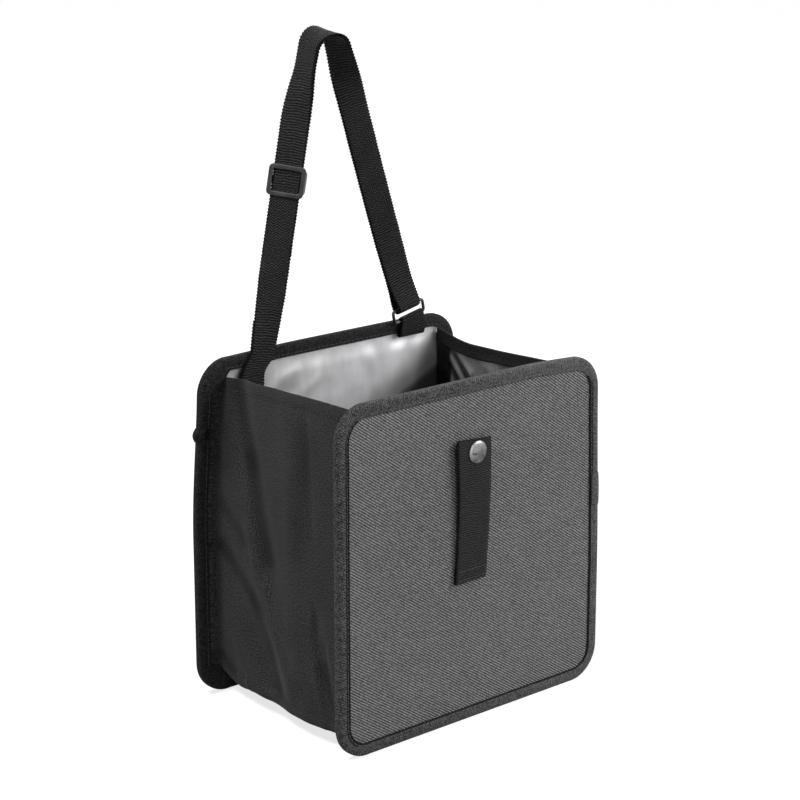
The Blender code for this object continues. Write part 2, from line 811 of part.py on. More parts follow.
def slider(collection, cutters):
    """Tri-glide: end bars in front of the two plies, centre bar behind them."""
    slot_width = STRAP_WIDTH + 2 * SLIDER_SIDE_ROOM
    width = slot_width + 2 * SLIDER_RAIL
    half_room = PLY_OFFSET + STRAP / 2 + GAP
    outline = rounded_outline(width, SLIDER_HEIGHT, SLIDER_CORNER, segments=5)
    frame_mesh = meshed(flat_curve("strap_slider", outline, SLIDER_PLATE), "strap_slider")
    frame_mesh.transform(Matrix.Rotation(math.radians(90), 4, "X"))
    frame_mesh.transform(Matrix.Translation((0, -half_room - SLIDER_PLATE / 2, 0)))
    obj = add_object("strap_slider", frame_mesh, collection, "plastic")
    window_height = SLIDER_HEIGHT - 2 * SLIDER_BAR
    window = rounded_outline(slot_width, window_height, SLIDER_WINDOW_CORNER, segments=3)
    window_mesh = meshed(flat_curve("slider_window", window, 4 * SLIDER_PLATE), "slider_window")
    window_mesh.transform(Matrix.Rotation(math.radians(90), 4, "X"))
    window_mesh.transform(Matrix.Translation((0, -half_room - SLIDER_PLATE / 2, 0)))
    cut(obj, as_cutter(add_object("slider_window", window_mesh, cutters)))
    depth = 2 * half_room + 1.5 * SLIDER_PLATE
    rail_height = SLIDER_HEIGHT - 2 * SLIDER_CORNER
    for edge in (LEFT, RIGHT):
        place = (edge * (width - SLIDER_RAIL) / 2, SLIDER_PLATE / 4, 0)
        rail = box(f"slider_rail_{edge}", (SLIDER_RAIL, depth, rail_height), place, cutters)
        cut(obj, as_cutter(rail), "UNION")
    place = (0, half_room + SLIDER_PLATE / 2, 0)
    bar = box("slider_bar", (width, SLIDER_PLATE, CENTRE_BAR), place, cutters)
    cut(obj, as_cutter(bar), "UNION")
    pose = slider_pose()
    obj.matrix_world = pose
    for piece in cutters.objects:
        if piece.name.startswith("slider_"):
            piece.matrix_world = pose
    bevel = obj.modifiers.new("Edges", "BEVEL")
    bevel.width = SLIDER_EDGE
    bevel.segments = 1
    bevel.limit_method = "ANGLE"
    bevel.angle_limit = math.radians(50)
    return obj


def strap_ring(collection):
    """Rectangular wire ring, its origin on the lower bar that the tab holds."""
    outline = rounded_outline(RING_WIDTH, RING_HEIGHT, RING_CORNER, segments=3)
    curve = bpy.data.curves.new("strap_ring", "CURVE")
    curve.dimensions = "3D"
    curve.bevel_depth = RING_WIRE / 2
    curve.bevel_resolution = 2
    spline = curve.splines.new("POLY")
    spline.points.add(len(outline) - 1)
    for point, place in zip(spline.points, outline):
        point.co = (place[0], 0, place[1] + RING_HEIGHT / 2, 1)
    spline.use_cyclic_u = True
    curve.materials.append(material("black_wire"))
    obj = bpy.data.objects.new("strap_ring", curve)
    collection.objects.link(obj)
    obj.matrix_world = ring_pose()
    return obj


def ring_tab(collection):
    """Short webbing loop over the ring's lower bar, both ends sewn to the back panel's tape."""
    pose = ring_pose()
    bar = pose.to_3x3() @ Vector((1, 0, 0))
    up = pose.to_3x3() @ Vector((0, 0, 1))
    centre = pose @ Vector((-RING_SHIFT, 0, 0))
    loop = RING_WIRE / 2 + GAP + STRAP / 2
    level = Vector((1, 0, 0))
    bottom = PANEL_HEIGHT - TAB_DROP

    def leg(side):
        """Points of one ply from the bar down to the sewn end, side -1 in front, +1 behind."""
        found = []
        steps = [TAB_CLOSES_BY * k / 4 for k in range(4)] + [TAB_CLOSES_BY, 0.5, 0.75, 1.0]
        for t in steps:
            z = mix(centre.z, bottom, t)
            close = ease(t / TAB_CLOSES_BY)
            y = mix(centre.y + side * loop, STRAP_Y + side * PLY_OFFSET, close)
            width = bar.lerp(level, ease(t))
            middle = Vector((mix(centre.x, TAB_X, t), y, z))
            found.append([middle - width * TAB_WIDTH / 2, middle + width * TAB_WIDTH / 2])
        return found

    rows = leg(-1)[::-1]
    for angle in range(20, 180, 20):
        turn = math.radians(angle)
        middle = centre + up * loop * math.sin(turn) - Vector((0, loop * math.cos(turn), 0))
        rows.append([middle - bar * TAB_WIDTH / 2, middle + bar * TAB_WIDTH / 2])
    rows += leg(1)
    return sheet("ring_tab", rows, STRAP, collection, "webbing")


# Front tab and snap

CLOTH_Y = panel_y(FRONT, FACE_DEPTH)
UNDER_PLY = GAP + STRAP / 2
UPPER_PLY = UNDER_PLY + STRAP + GAP
SOCKET_BASE = GAP + STUD_FLANGE + GAP
SNAP_PLY = SOCKET_BASE + SOCKET_HEIGHT + GAP + STRAP / 2
SNAP_Z = SNAP_TAB_TOP - SNAP_DROP


def tab_out(z):
    """Distance of the tab's middle surface from the cloth of the front panel."""
    share = min((z - SNAP_TAB_BOTTOM) / (SNAP_Z - CAP_RADIUS - SNAP_TAB_BOTTOM), 1.0)
    bow = SNAP_TAB_BOW * math.sin(math.pi * share) ** 2
    return mix(UPPER_PLY, SNAP_PLY, ease(share)) + bow


def snap_tab(collection, cutters):
    """Wide webbing tab: its lower end turned under and sewn, its upper end on the snap."""
    rows = []

    def across(z, out):
        share = ((z - SNAP_TAB_BOTTOM) / (SNAP_TAB_TOP - SNAP_TAB_BOTTOM)) ** 2
        half = mix(SNAP_TAB_END_WIDTH, SNAP_TAB_WIDTH, share) / 2
        y = CLOTH_Y - out
        return [Vector((SNAP_TAB_X + k * half, y, z)) for k in (-1, -0.5, 0, 0.5, 1)]

    fold = (UPPER_PLY - UNDER_PLY) / 2
    low = SNAP_TAB_BOTTOM + fold
    for z in (low + SNAP_TAB_TURN_UNDER, low + SNAP_TAB_TURN_UNDER / 2, low):
        rows.append(across(z, UNDER_PLY))
    for angle in (45, 90, 135):
        turn = math.radians(angle)
        z = low - fold * math.sin(turn)
        rows.append(across(z, UNDER_PLY + fold * (1 - math.cos(turn))))
    steps = 20
    for k in range(steps + 1):
        z = mix(low, SNAP_TAB_TOP, k / steps)
        rows.append(across(z, tab_out(z)))
    obj = sheet("snap_tab", rows, STRAP, collection, "webbing")
    hole = round_cutter("tab_hole", POST_RADIUS + POST_HOLE_ROOM, SNAP_PLY, 4 * STRAP, cutters)
    cut(obj, hole)
    return obj


def round_cutter(name, radius, out, length, cutters):
    """Round cutter on the snap's axis, centred this far out from the front cloth."""
    solid = bmesh.new()
    bmesh.ops.create_cone(
        solid, cap_ends=True, segments=16, radius1=radius, radius2=radius, depth=length
    )
    mesh = bpy.data.meshes.new(name)
    solid.to_mesh(mesh)
    solid.free()
    obj = as_cutter(add_object(name, mesh, cutters))
    obj.location = (SNAP_X, CLOTH_Y - out, SNAP_Z)
    obj.rotation_euler = (math.radians(90), 0, 0)
    return obj


def snap_parts(collection):
    place = Vector((SNAP_X, CLOTH_Y, SNAP_Z))
    cap_base = SNAP_PLY + STRAP / 2 + GAP
    cap_top = cap_base + CAP_HEIGHT
    dome = [(0, cap_top)]
    for k in range(1, 6):
        share = k / 6
        fall = 1 - math.sqrt(1 - (CAP_ROUND * share) ** 2)
        dome.append((CAP_RADIUS * share, cap_top - CAP_FALL * CAP_HEIGHT * fall))
    dome += [
        (CAP_RADIUS, cap_base + CAP_RIM * CAP_HEIGHT),
        (CAP_RADIUS, cap_base),
        (POST_RADIUS, cap_base),
        (POST_RADIUS, cap_base - STRAP - GAP - SOCKET_WALL / 2),
        (0, cap_base - STRAP - GAP - SOCKET_WALL / 2),
    ]
    turned("snap_cap", dome, place, collection, "nickel")
    top = SOCKET_BASE + SOCKET_HEIGHT
    bore = STUD_BOSS + GAP
    stem = POST_RADIUS + GAP
    socket = [
        (stem, top),
        (SOCKET_RADIUS - SNAP_EDGE, top),
        (SOCKET_RADIUS, top - SNAP_EDGE),
        (SOCKET_RADIUS, SOCKET_BASE),
        (bore, SOCKET_BASE),
        (bore, top - SOCKET_WALL),
        (stem, top - SOCKET_WALL),
        (stem, top),
    ]
    turned("snap_socket", socket, place, collection, "nickel")
    flange = GAP + STUD_FLANGE
    boss_top = flange + STUD_BOSS_HEIGHT - GAP
    stud = [
        (0, boss_top),
        (STUD_BOSS - SNAP_EDGE, boss_top),
        (STUD_BOSS, boss_top - SNAP_EDGE),
        (STUD_BOSS - STUD_NECK, flange),
        (STUD_RADIUS, flange),
        (STUD_RADIUS, GAP),
        (stem, GAP),
        (stem, flange + STUD_NECK),
        (0, flange + STUD_NECK),
    ]
    turned("snap_stud", stud, place, collection, "nickel")
    head_near = LINING_DEPTH + FILM + GAP - FACE_DEPTH
    post = [
        (0, flange),
        (POST_RADIUS, flange),
        (POST_RADIUS, -head_near),
        (POST_HEAD_RADIUS, -head_near),
        (POST_HEAD_RADIUS, -head_near - 0.5 * POST_HEAD),
        (POST_HEAD_RADIUS * POST_HEAD_TAPER, -head_near - POST_HEAD),
        (0, -head_near - POST_HEAD),
    ]
    turned("snap_post", post, place, collection, "nickel")


def build():
    clear_scene()
    parts = bpy.data.collections.new("car_trash_can")
    cutters = bpy.data.collections.new("cutters")
    for collection in (parts, cutters):
        bpy.context.scene.collection.children.link(collection)
    post_hole = round_cutter("post_hole", POST_RADIUS + POST_HOLE_ROOM, 0, 4 * PANEL_THICKNESS, cutters)
    for name, side, hole in (("front", FRONT, post_hole), ("back", BACK, None)):
        panel_plate(f"{name}_face_cloth", side, FACE_DEPTH, CLOTH, parts, "twill", hole)
        panel_plate(f"{name}_board", side, BOARD_DEPTH, BOARD, parts, "board", hole)
        panel_plate(f"{name}_lining", side, LINING_DEPTH, FILM, parts, "film", hole)
        binding(f"{name}_binding", side, parts)
    gusset(parts)
    gusset_lining(parts)
    base_board(parts)
    strap(parts)
    slider(parts, cutters)
    strap_ring(parts)
    ring_tab(parts)
    snap_tab(parts, cutters)
    snap_parts(parts)


build()
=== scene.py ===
"""Looks of the soft car trash can: cloth, film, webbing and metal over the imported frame."""

import math

import bpy
from mathutils import Matrix, Vector, noise


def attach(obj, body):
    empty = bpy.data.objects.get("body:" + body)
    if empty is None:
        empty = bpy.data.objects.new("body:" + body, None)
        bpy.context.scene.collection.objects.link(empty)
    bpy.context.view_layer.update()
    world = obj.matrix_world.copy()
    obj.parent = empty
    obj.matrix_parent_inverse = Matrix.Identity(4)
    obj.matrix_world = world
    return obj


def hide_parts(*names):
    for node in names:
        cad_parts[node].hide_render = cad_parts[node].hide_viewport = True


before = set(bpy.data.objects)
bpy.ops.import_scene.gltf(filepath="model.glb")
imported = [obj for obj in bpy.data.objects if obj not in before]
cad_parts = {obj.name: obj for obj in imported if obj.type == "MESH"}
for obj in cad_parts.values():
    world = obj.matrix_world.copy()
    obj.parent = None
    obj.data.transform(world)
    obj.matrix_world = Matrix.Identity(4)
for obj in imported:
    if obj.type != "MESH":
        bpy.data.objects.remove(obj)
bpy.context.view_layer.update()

# Sizes repeated from the part's source, in metres

WIDTH, HEIGHT, DEPTH, CORNER = 0.220, 0.222, 0.145, 0.022
FRONT_DROOP = (0.0033, 0.0025, 0.070, 0.150)
BACK_DROOP = (0.0060, 0.0015, 0.090, 0.115)
GAP, CLOTH, BOARD, FILM, TAPE = 0.0003, 0.0005, 0.0016, 0.0003, 0.0005
TAPE_COVER, TAPE_ROLL = 0.0085, 0.0013
SEAM_INSET, BACK_SEAM_INSET, FLANGE_BEND = 0.0105, 0.0150, 0.0006
BASE_CORNER, BACK_BASE_CORNER = 0.0045, 0.0100
CORNER_BULGE, BASE_BULGE = 0.0020, 0.0015
HEM = 0.009
RIMS = {-1: (0.0030, 0.0110), 1: (0.0098, 0.0090)}
RIGHT_RIM_SAG = 0.0049

FACE_DEPTH = TAPE + GAP
LINING_DEPTH = FACE_DEPTH + CLOTH + GAP + BOARD + GAP
FLANGE_DEPTH = LINING_DEPTH + FILM + GAP
PANEL_THICKNESS = FLANGE_DEPTH + CLOTH + GAP + TAPE
LAYER_INSET = TAPE / 2 + TAPE_ROLL

STRAP_WIDTH, STRAP = 0.0190, 0.0010
ANCHOR_X, ANCHOR_DEPTH, ANCHOR_FOLD_RISE = -0.067, 0.026, 0.019
LEFT_FOOT_X, LEAN_IN, LEFT_LEAN, RIGHT_LEAN = -0.0579, 0.017, 0.2018, 0.345
STRAP_RISE, ARCH_RADIUS, ARCH_FORWARD = 0.1985, 0.0120, 0.003
LEFT_TOP_TURN, RIGHT_TOP_TURN, RIGHT_LEG_TURN, CREST_TIP = -90.0, -72.0, -18.0, -13.0
RIGHT_LEG_BOW, SLIDER_RISE, SLIDER_TRAVEL, SLIDER_TURN = 0.0018, 0.107, 0.022, -52.0
TAIL_BELOW_SLIDER = 0.0135
SLIDER_HEIGHT, SLIDER_BAR, SLIDER_RAIL, SLIDER_PLATE = 0.020, 0.0029, 0.0022, 0.0012
SLIDER_CORNER, SLIDER_ROOM, CENTRE_BAR = 0.0030, 0.0004, 0.0040
TAB_X, TAB_WIDTH, TAB_DROP, TAB_CLOSES_BY = 0.0692, 0.0205, 0.0095, 0.28
RING_WIRE, RING_WIDTH, RING_HEIGHT, RING_CORNER = 0.0022, 0.0280, 0.0086, 0.0022
RING_TILT, RING_SHIFT, STRAP_SHIFT = 12.0, -0.0021, -0.0015
RING_SEAT_RISE, RING_FORWARD, FOLD_ROOM, FOLD_DROP = 0.0032, 0.0009, 0.0015, 0.0010
SNAP_TAB_X, SNAP_TAB_WIDTH, SNAP_TAB_END_WIDTH = -0.0058, 0.0290, 0.0262
SNAP_TAB_TOP, SNAP_TAB_BOTTOM, SNAP_TAB_TURN_UNDER, SNAP_TAB_BOW = 0.1850, 0.0930, 0.009, 0.0009
SNAP_X, SNAP_Z, CAP_RADIUS, CAP_HEIGHT = -0.0033, 0.1765, 0.0072, 0.0019
SOCKET_HEIGHT, STUD_FLANGE = 0.0018, 0.0005

FRONT, BACK = LEFT, RIGHT = -1, 1
UP = Vector((0, 0, 1))
SIDEWAYS = Vector((1, 0, 0))


def mix(a, b, t):
    return a + (b - a) * t


def ease(t):
    t = min(max(t, 0.0), 1.0)
    return t * t * (3 - 2 * t)


def bell(value, width):
    return math.exp(-((value / width) ** 2))


def hump(t):
    """Half a sine wave while t goes from 0 to 1."""
    return math.sin(math.pi * min(max(t, 0.0), 1.0))


def circle(degrees, radius=1.0):
    angle = math.radians(degrees)
    return radius * math.cos(angle), radius * math.sin(angle)


def half_turn(step):
    """Cosines and sines between 0 and 180 degrees."""
    return [circle(angle) for angle in range(step, 180, step)]


def rough(x, y, seed=0.0):
    """Smooth noise from -1 to 1."""
    return noise.noise(Vector((x, y, seed)))


def settled(point):
    """World point moved with the two drooping top corners."""
    x, y, z = point
    back = ease((y + DEPTH / 2 - PANEL_THICKNESS) / (DEPTH - 2 * PANEL_THICKNESS))
    moved = Vector(point)
    for share, wall, shift_x, drop, reach_x, reach_z in (
        (1 - back, RIGHT, *FRONT_DROOP),
        (back, LEFT, *BACK_DROOP),
    ):
        across = ease((wall * x - WIDTH / 2 + reach_x) / reach_x)
        weight = share * across * ease((z - HEIGHT + reach_z) / reach_z)
        moved -= Vector((wall * shift_x, 0, drop)) * weight
    return moved


def panel_y(side, depth):
    return side * (DEPTH / 2 - depth)


# Camera and light

AZIMUTH, ELEVATION, DISTANCE, LENS = -41.556, 15.428, 1.44655, 102.565
TARGET = Vector((0.000608, 0, 0.192901))
WORLD_LIGHT = 0.055


def linked(name, data):
    obj = bpy.data.objects.new(name, data)
    bpy.context.scene.collection.objects.link(obj)
    return obj


def direction(azimuth, elevation):
    flat, up = circle(elevation)
    ahead, aside = circle(azimuth)
    return Vector((aside * flat, -ahead * flat, up))


def make_camera():
    data = bpy.data.cameras.new("camera")
    data.sensor_width, data.lens = 36, LENS
    data.clip_start, data.clip_end = 0.05, 40
    camera = linked("camera", data)
    back = direction(AZIMUTH, ELEVATION)
    right = (-back).cross(UP).normalized()
    turn = Matrix((right, right.cross(-back), back)).transposed().to_4x4()
    camera.matrix_world = Matrix.Translation(TARGET + back * DISTANCE) @ turn
    bpy.context.scene.camera = camera


def lamp(name, azimuth, elevation, distance, size, watts):
    """Square soft light aimed at the middle of the bin."""
    data = bpy.data.lights.new(name, "AREA")
    data.size, data.energy = size, watts
    light = linked(name, data)
    away = direction(azimuth, elevation)
    light.location = Vector((0, 0, 0.2)) + away * distance
    light.rotation_mode = "QUATERNION"
    light.rotation_quaternion = away.to_track_quat("Z", "Y")


# Materials


class Wire:
    """Output of a node; sums and products of wires are Math nodes."""

    def __init__(self, nodes, socket):
        self.nodes, self.socket = nodes, socket

    def math(self, operation, *values):
        return self.nodes.node("Math", dict(enumerate(values)), operation=operation)

    def __add__(self, other):
        return self.math("ADD", self, other)

    def __sub__(self, other):
        return self.math("SUBTRACT", self, other)

    def __rsub__(self, other):
        return self.math("SUBTRACT", other, self)

    def __mul__(self, other):
        return self.math("MULTIPLY", self, other)

    def max(self, other):
        return self.math("MAXIMUM", self, other)

    def wave(self):
        """0 to 1 wave of a phase in cycles."""
        phase = self * math.tau
        return phase.math("SINE", phase) * 0.5 + 0.5

    def zigzag(self, width):
        return self.math("PINGPONG", self, width)

    def within(self, low, high, start=0.0, end=1.0):
        """Mapped smoothly from low..high to start..end."""
        inputs = {"Value": self, "From Min": low, "From Max": high, "To Min": start, "To Max": end}
        return self.nodes.node("MapRange", inputs, interpolation_type="SMOOTHSTEP")


def streak(u, v, start, end, width):
    """1 on the line from start to end, falling to 0 at width metres from it."""
    length = math.dist(start, end)
    along_u, along_v = (end[0] - start[0]) / length, (end[1] - start[1]) / length
    u, v = u - start[0], v - start[1]
    along, off = u * along_u + v * along_v, v * along_u - u * along_v
    past = along - along.math("MINIMUM", along.max(0.0), length)
    squared = off * off + past * past
    return squared.math("SQRT", squared).within(0.0, width, 1.0, 0.0)


class Nodes:
    """A node tree that procedural values are built in."""

    def __init__(self, tree):
        self.tree = tree

    def put(self, socket, value):
        if isinstance(value, Wire):
            self.tree.links.new(value.socket, socket)
        else:
            socket.default_value = value

    def node(self, kind, inputs=(), out=0, **settings):
        """One output of a new node."""
        made = self.tree.nodes.new("ShaderNode" + kind)
        for key, value in settings.items():
            setattr(made, key, value)
        for key, value in dict(inputs).items():
            self.put(made.inputs[key], value)
        return Wire(self, made.outputs[out])

    def split(self, vector):
        made = self.node("SeparateXYZ", {"Vector": vector}).socket.node
        return [Wire(self, output) for output in made.outputs]

    def seen(self):
        """1 for rays of the camera, of reflections and through glass."""
        outputs = self.node("LightPath").socket.node.outputs
        kinds = ("Camera", "Glossy", "Transmission")
        camera, *others = (Wire(self, outputs[f"Is {kind} Ray"]) for kind in kinds)
        return camera.max(others[0]).max(others[1])


class Look(Nodes):
    """One procedural material on a Principled shader."""

    def __init__(self, name, **sockets):
        self.material = bpy.data.materials.new(name)
        self.material.use_nodes = True
        super().__init__(self.material.node_tree)
        self.shader = self.tree.nodes["Principled BSDF"]
        for key, value in sockets.items():
            self.shader.inputs[key.replace("_", " ")].default_value = value

    def place(self):
        """x, y and z of the point at rest, and the vector itself."""
        vector = self.node("TexCoord", out="Object")
        return (*self.split(vector), vector)

    def weave(self):
        """Metres across and along the cloth, and the vector itself."""
        vector = self.node("UVMap", uv_map="weave")
        return (*self.split(vector)[:2], vector)

    def noise(self, vector, scale, detail=2.0, roughness=0.5, stretch=None):
        if stretch:
            vector = self.node("VectorMath", {0: vector, 1: stretch}, operation="MULTIPLY")
        inputs = {"Vector": vector, "Scale": scale, "Detail": detail, "Roughness": roughness}
        return self.node("TexNoise", inputs, "Fac")

    def colour(self, share, *stops):
        """Base colour from a share along (place, grey or colour) stops."""
        ramp = self.node("ValToRGB", {"Fac": share}, "Color")
        elements = ramp.socket.node.color_ramp.elements
        while len(elements) < len(stops):
            elements.new(0.5)
        for element, (place, tone) in zip(elements, stops):
            element.position = place
            element.color = (*tone, 1.0) if isinstance(tone, tuple) else (tone, tone, tone, 1.0)
        self.put(self.shader.inputs["Base Color"], ramp)

    def roughness(self, share, low, high):
        self.put(self.shader.inputs["Roughness"], share.within(0.0, 1.0, low, high))

    def bump(self, height):
        """Relief from a height in metres; gives the finished material."""
        made = self.node("Bump", {"Height": height, "Distance": 1.0, "Strength": 1.0})
        self.put(self.shader.inputs["Normal"], made)
        return self.material


def twill_look():
    """Grey twill: ribs that fall to the right, made of short floats with uneven dye."""
    look = Look("twill_cloth", Sheen_Weight=0.04, Specular_IOR_Level=0.09)
    x, _, z, vector = look.place()
    rib = (x * 363.0 + z * 540.0 + look.noise(vector, 45.0, 1.0) * 0.35).wave()
    warp, weft = (x * 1452.0).wave(), (z * 2160.0).wave()
    fleck = look.noise(vector, 1000.0, 1.0, 0.6, (1.0, 1.0, 0.75))
    mottle, broad_tone = look.noise(vector, 70.0, 3.0, 0.6), look.noise(vector, 9.0, 2.0)
    share = rib * 0.68 + fleck.within(0.34, 0.66) * 0.30 + mottle * 0.14 + broad_tone * 0.12
    share = share + warp * 0.06 - 0.15
    look.colour(share, (0.02, 0.022), (0.50, 0.105), (0.98, 0.330))
    look.roughness(fleck, 0.72, 0.95)
    return look.bump(rib * 0.00014 + warp * weft * 0.00004 + fleck * 0.00008)


def tape_look(name, dark, light, edge):
    """Woven binding: fine ribs across it, mottled dye, painted light from left to right, and a
    darker inner edge, partly dark thread and partly painted shade.
    """
    look = Look(name, Sheen_Weight=0.05, Specular_IOR_Level=0.07)
    across, along, vector = look.weave()
    drift = look.noise(vector, 120.0, 1.0) * 0.9
    rib = (along * 620.0 + across * 330.0 + drift).wave()
    cord = (across * 1250.0 + drift).wave()
    fleck = look.noise(vector, 850.0, 2.0, 0.7)
    mottle = look.noise(vector, 260.0, 3.0, 0.65)
    broad_tone = look.noise(vector, 40.0, 2.0)
    x, _, z, _ = look.place()
    share = rib * 0.24 + cord * 0.06 + fleck.within(0.32, 0.68) * 0.50
    share = share + mottle.within(0.3, 0.7) * 0.22 + broad_tone * 0.20 - 0.16
    # Painted light: the tape darker toward the left and lighter toward the right.
    share = share + x.within(-0.10, 0.11, -0.06, 0.12)
    # The tape darkened along its inner edge, partly as its dark thread and partly as painted shade;
    # edge sets its width on the left and right sides, and it narrows toward the top.
    right = x.within(0.094, 0.100) * z.within(0.136, 0.142, 0.35, 1.0)
    reach = x.within(-0.094, -0.100).max(right) * edge + broad_tone * 0.0012 + fleck * 0.0016 - 0.0003
    reach = (reach + z.within(0.196, 0.210, 0.0, -0.0011)).max(0.0001)
    seam_shade = across.zigzag(0.0113).within(reach * 0.70, reach, 0.08, 1.0)
    look.colour(share * seam_shade, (0.0, dark * 0.2), (0.25, dark), (0.95, light))
    look.roughness(fleck, 0.80, 0.98)
    return look.bump(rib * 0.00014 + fleck * 0.00022 + mottle * 0.00030)


# Painted shade along folds of the left side: depth of tone, start and end as (y, z), width, in
# metres
FOLD_SHADE_STREAKS = (
    (0.16, (0.0640, 0.212), (0.0600, 0.160), 0.0200),
    (0.20, (0.0520, 0.208), (0.0323, 0.160), 0.0110),
    (0.22, (0.0340, 0.166), (0.0150, 0.106), 0.0120),
    (0.15, (0.0620, 0.128), (0.0380, 0.111), 0.0090),
    (0.22, (0.0633, 0.101), (0.0242, 0.069), 0.0090),
    (0.24, (0.0300, 0.074), (0.0140, 0.045), 0.0110),
    (0.18, (0.0150, 0.048), (0.0060, 0.020), 0.0085),
    (0.20, (-0.0404, 0.049), (-0.0512, 0.028), 0.0085),
    (0.24, (0.0640, 0.026), (0.0540, 0.019), 0.0080),
    (0.12, (-0.0250, 0.190), (-0.0180, 0.120), 0.0160),
)


def gusset_look():
    """Black plain-weave cloth, with painted shade along the left side's folds and on its faces
    turned into the bin.
    """
    look = Look("gusset_cloth", Sheen_Weight=0.05, Specular_IOR_Level=0.07)
    across, along, vector = look.weave()
    drift = look.noise(vector, 60.0, 1.0) * 0.8
    woven = ((across * 820.0 + drift).wave() * 0.8).max((along * 820.0 + drift).wave())
    fleck = look.noise(vector, 1150.0, 2.0, 0.7)
    slub = look.noise(vector, 420.0, 2.0, 0.5, (0.25, 1.0, 1.0))
    mottle = look.noise(vector, 30.0, 2.0, 0.6)
    share = woven * 0.24 + fleck.within(0.34, 0.66) * 0.50 + slub * 0.08 + mottle * 0.16
    x, y, z, _ = look.place()
    left = x.within(-0.080, -0.030, 1.0, 0.0)
    # Painted shade: the left side darkened along its folds.
    for depth, *line in FOLD_SHADE_STREAKS:
        share = share - streak(y, z, *line) * left * depth
    # Painted shade on the cloth's faces that look into the bin, such as the turned-in hem.
    outward = look.split(look.node("NewGeometry", out="Normal"))[0]
    share = share - (outward * x).within(-0.10, -0.03, 1.0, 0.0) * 0.26
    look.colour(share, (0.12, 0.006), (0.5, 0.030), (0.95, 0.090))
    look.roughness(fleck, 0.74, 0.95)
    return look.bump(woven * 0.00008 + fleck * 0.00006 + mottle * 0.00015)


# Painted glints (positive tone) and painted shade (negative tone) on the side lining by the rear
# seam: tone, start and end as (y, z), width, in metres
PAINTED_LINING_STREAKS = (
    (-0.34, (0.0605, 0.1980), (0.0460, 0.1770), 0.0036),
    (0.20, (0.0545, 0.1990), (0.0430, 0.1800), 0.0024),
    (-0.36, (0.0490, 0.2010), (0.0370, 0.1800), 0.0034),
    (0.10, (0.0400, 0.2000), (0.0300, 0.1820), 0.0050),
)
# Line across the rear lining's upper corner, dark on its right: direction square to it, height
CORNER_SHADE, CORNER_SHADE_Z = (0.396, -0.918), 0.212


def film_look(name, dark, light, shine, metal, seam_shade=None):
    """Coated lining film: soft sheen, small crinkles, the cloth's grain through it, with painted
    light toward the right and painted glints and shade near the corners.
    """
    look = Look(name, Metallic=metal, Specular_IOR_Level=0.5)
    x, y, z, vector = look.place()
    across, along, flat = look.weave()
    grain = (across * 600.0).wave() * (along * 600.0).wave()
    crinkle = look.noise(flat, 70.0, 3.0, 0.45)
    brushed = look.noise(flat, 160.0, 2.0, 0.5, (1.0, 0.12, 1.0))
    share = crinkle * 0.35 + look.noise(vector, 22.0, 2.0) * 0.25
    # Painted light: the film darker toward the left and lighter toward the right.
    share = share + x.within(-0.060, 0.030, -0.06, 0.28) + brushed * 0.15 + grain * 0.05
    if seam_shade:
        # Painted glints and shade along the side lining's folds.
        for tone, *line in PAINTED_LINING_STREAKS:
            share = share + streak(y, z, *line) * tone
        # Painted shade: the side lining turns black behind the given y, toward its rear seam.
        share = share * (y + crinkle * 0.0030).within(seam_shade, seam_shade + 0.0016, 1.0, 0.0)
    else:
        corner = x * CORNER_SHADE[0] + (z - CORNER_SHADE_Z) * CORNER_SHADE[1]
        shaded = corner.within(0.038, 0.065, 0.0, 0.98).max(x.within(0.086, 0.099, 0.0, 0.95))
        share = share * (1.0 - shaded * z.within(0.120, 0.168) * y.within(0.0, 0.03))
    bright = (light, light, light * 1.02)
    look.colour(share, (0.0, 0.030), (0.10, dark * 0.9), (0.25, dark), (0.75, bright))
    look.roughness(crinkle, shine, shine + 0.16)
    return look.bump(crinkle * 0.00026 + brushed * 0.00008 + grain * 0.00002)


def webbing_look(name, pitch, chevron, half, dark, light):
    """Webbing: weft ribs across it that step into a chevron, its edges darkened as painted shade.
    """
    look = Look(name, Sheen_Weight=0.03, Specular_IOR_Level=0.08)
    across, along, vector = look.weave()
    drift = look.noise(vector, 260.0, 1.0) * 1.1

    def ribs(width, slope):
        return ((along + (across + 1.0).zigzag(width) * slope) * (1.0 / pitch) + drift).wave()

    rib = ribs(2 * half / 3, 0.07)
    if chevron:
        lay = (along * 6.5 + 0.30).wave().within(0.40, 0.60)
        rib = look.node("Mix", {0: lay, 2: rib, 3: ribs(chevron, 0.75)})
    corded = (across * 700.0).wave() * rib
    fleck = look.noise(vector, 900.0, 2.0, 0.7)
    mottle = look.noise(vector, 70.0, 2.0, 0.6)
    share = rib * 0.50 + corded * 0.20 + fleck.within(0.32, 0.68) * 0.26 + mottle * 0.20 - 0.12
    # Painted shade: the webbing darkened toward both edges, down to a quarter.
    edge = across.math("ABSOLUTE", across).within(half - 0.0012, half - 0.0006, 1.0, 0.25)
    look.colour(share * edge, (0.05, dark), (0.50, mix(dark, light, 0.25)), (0.98, light))
    look.roughness(fleck, 0.60, 0.86)
    return look.bump(rib * 0.00022 + corded * 0.00012 + fleck * 0.00010)


def plastic_look():
    """Black moulded plastic: spark texture, rubbed lighter in places."""
    look = Look("moulded_plastic", Specular_IOR_Level=0.3)
    vector = look.place()[3]
    spark, rubbed = look.noise(vector, 2600.0, 2.0, 0.6), look.noise(vector, 160.0, 3.0, 0.6)
    look.colour(spark * 0.3 + rubbed * 0.7, (0.3, 0.012), (0.75, 0.055))
    look.roughness(rubbed, 0.30, 0.52)
    return look.bump(spark * 0.00005)


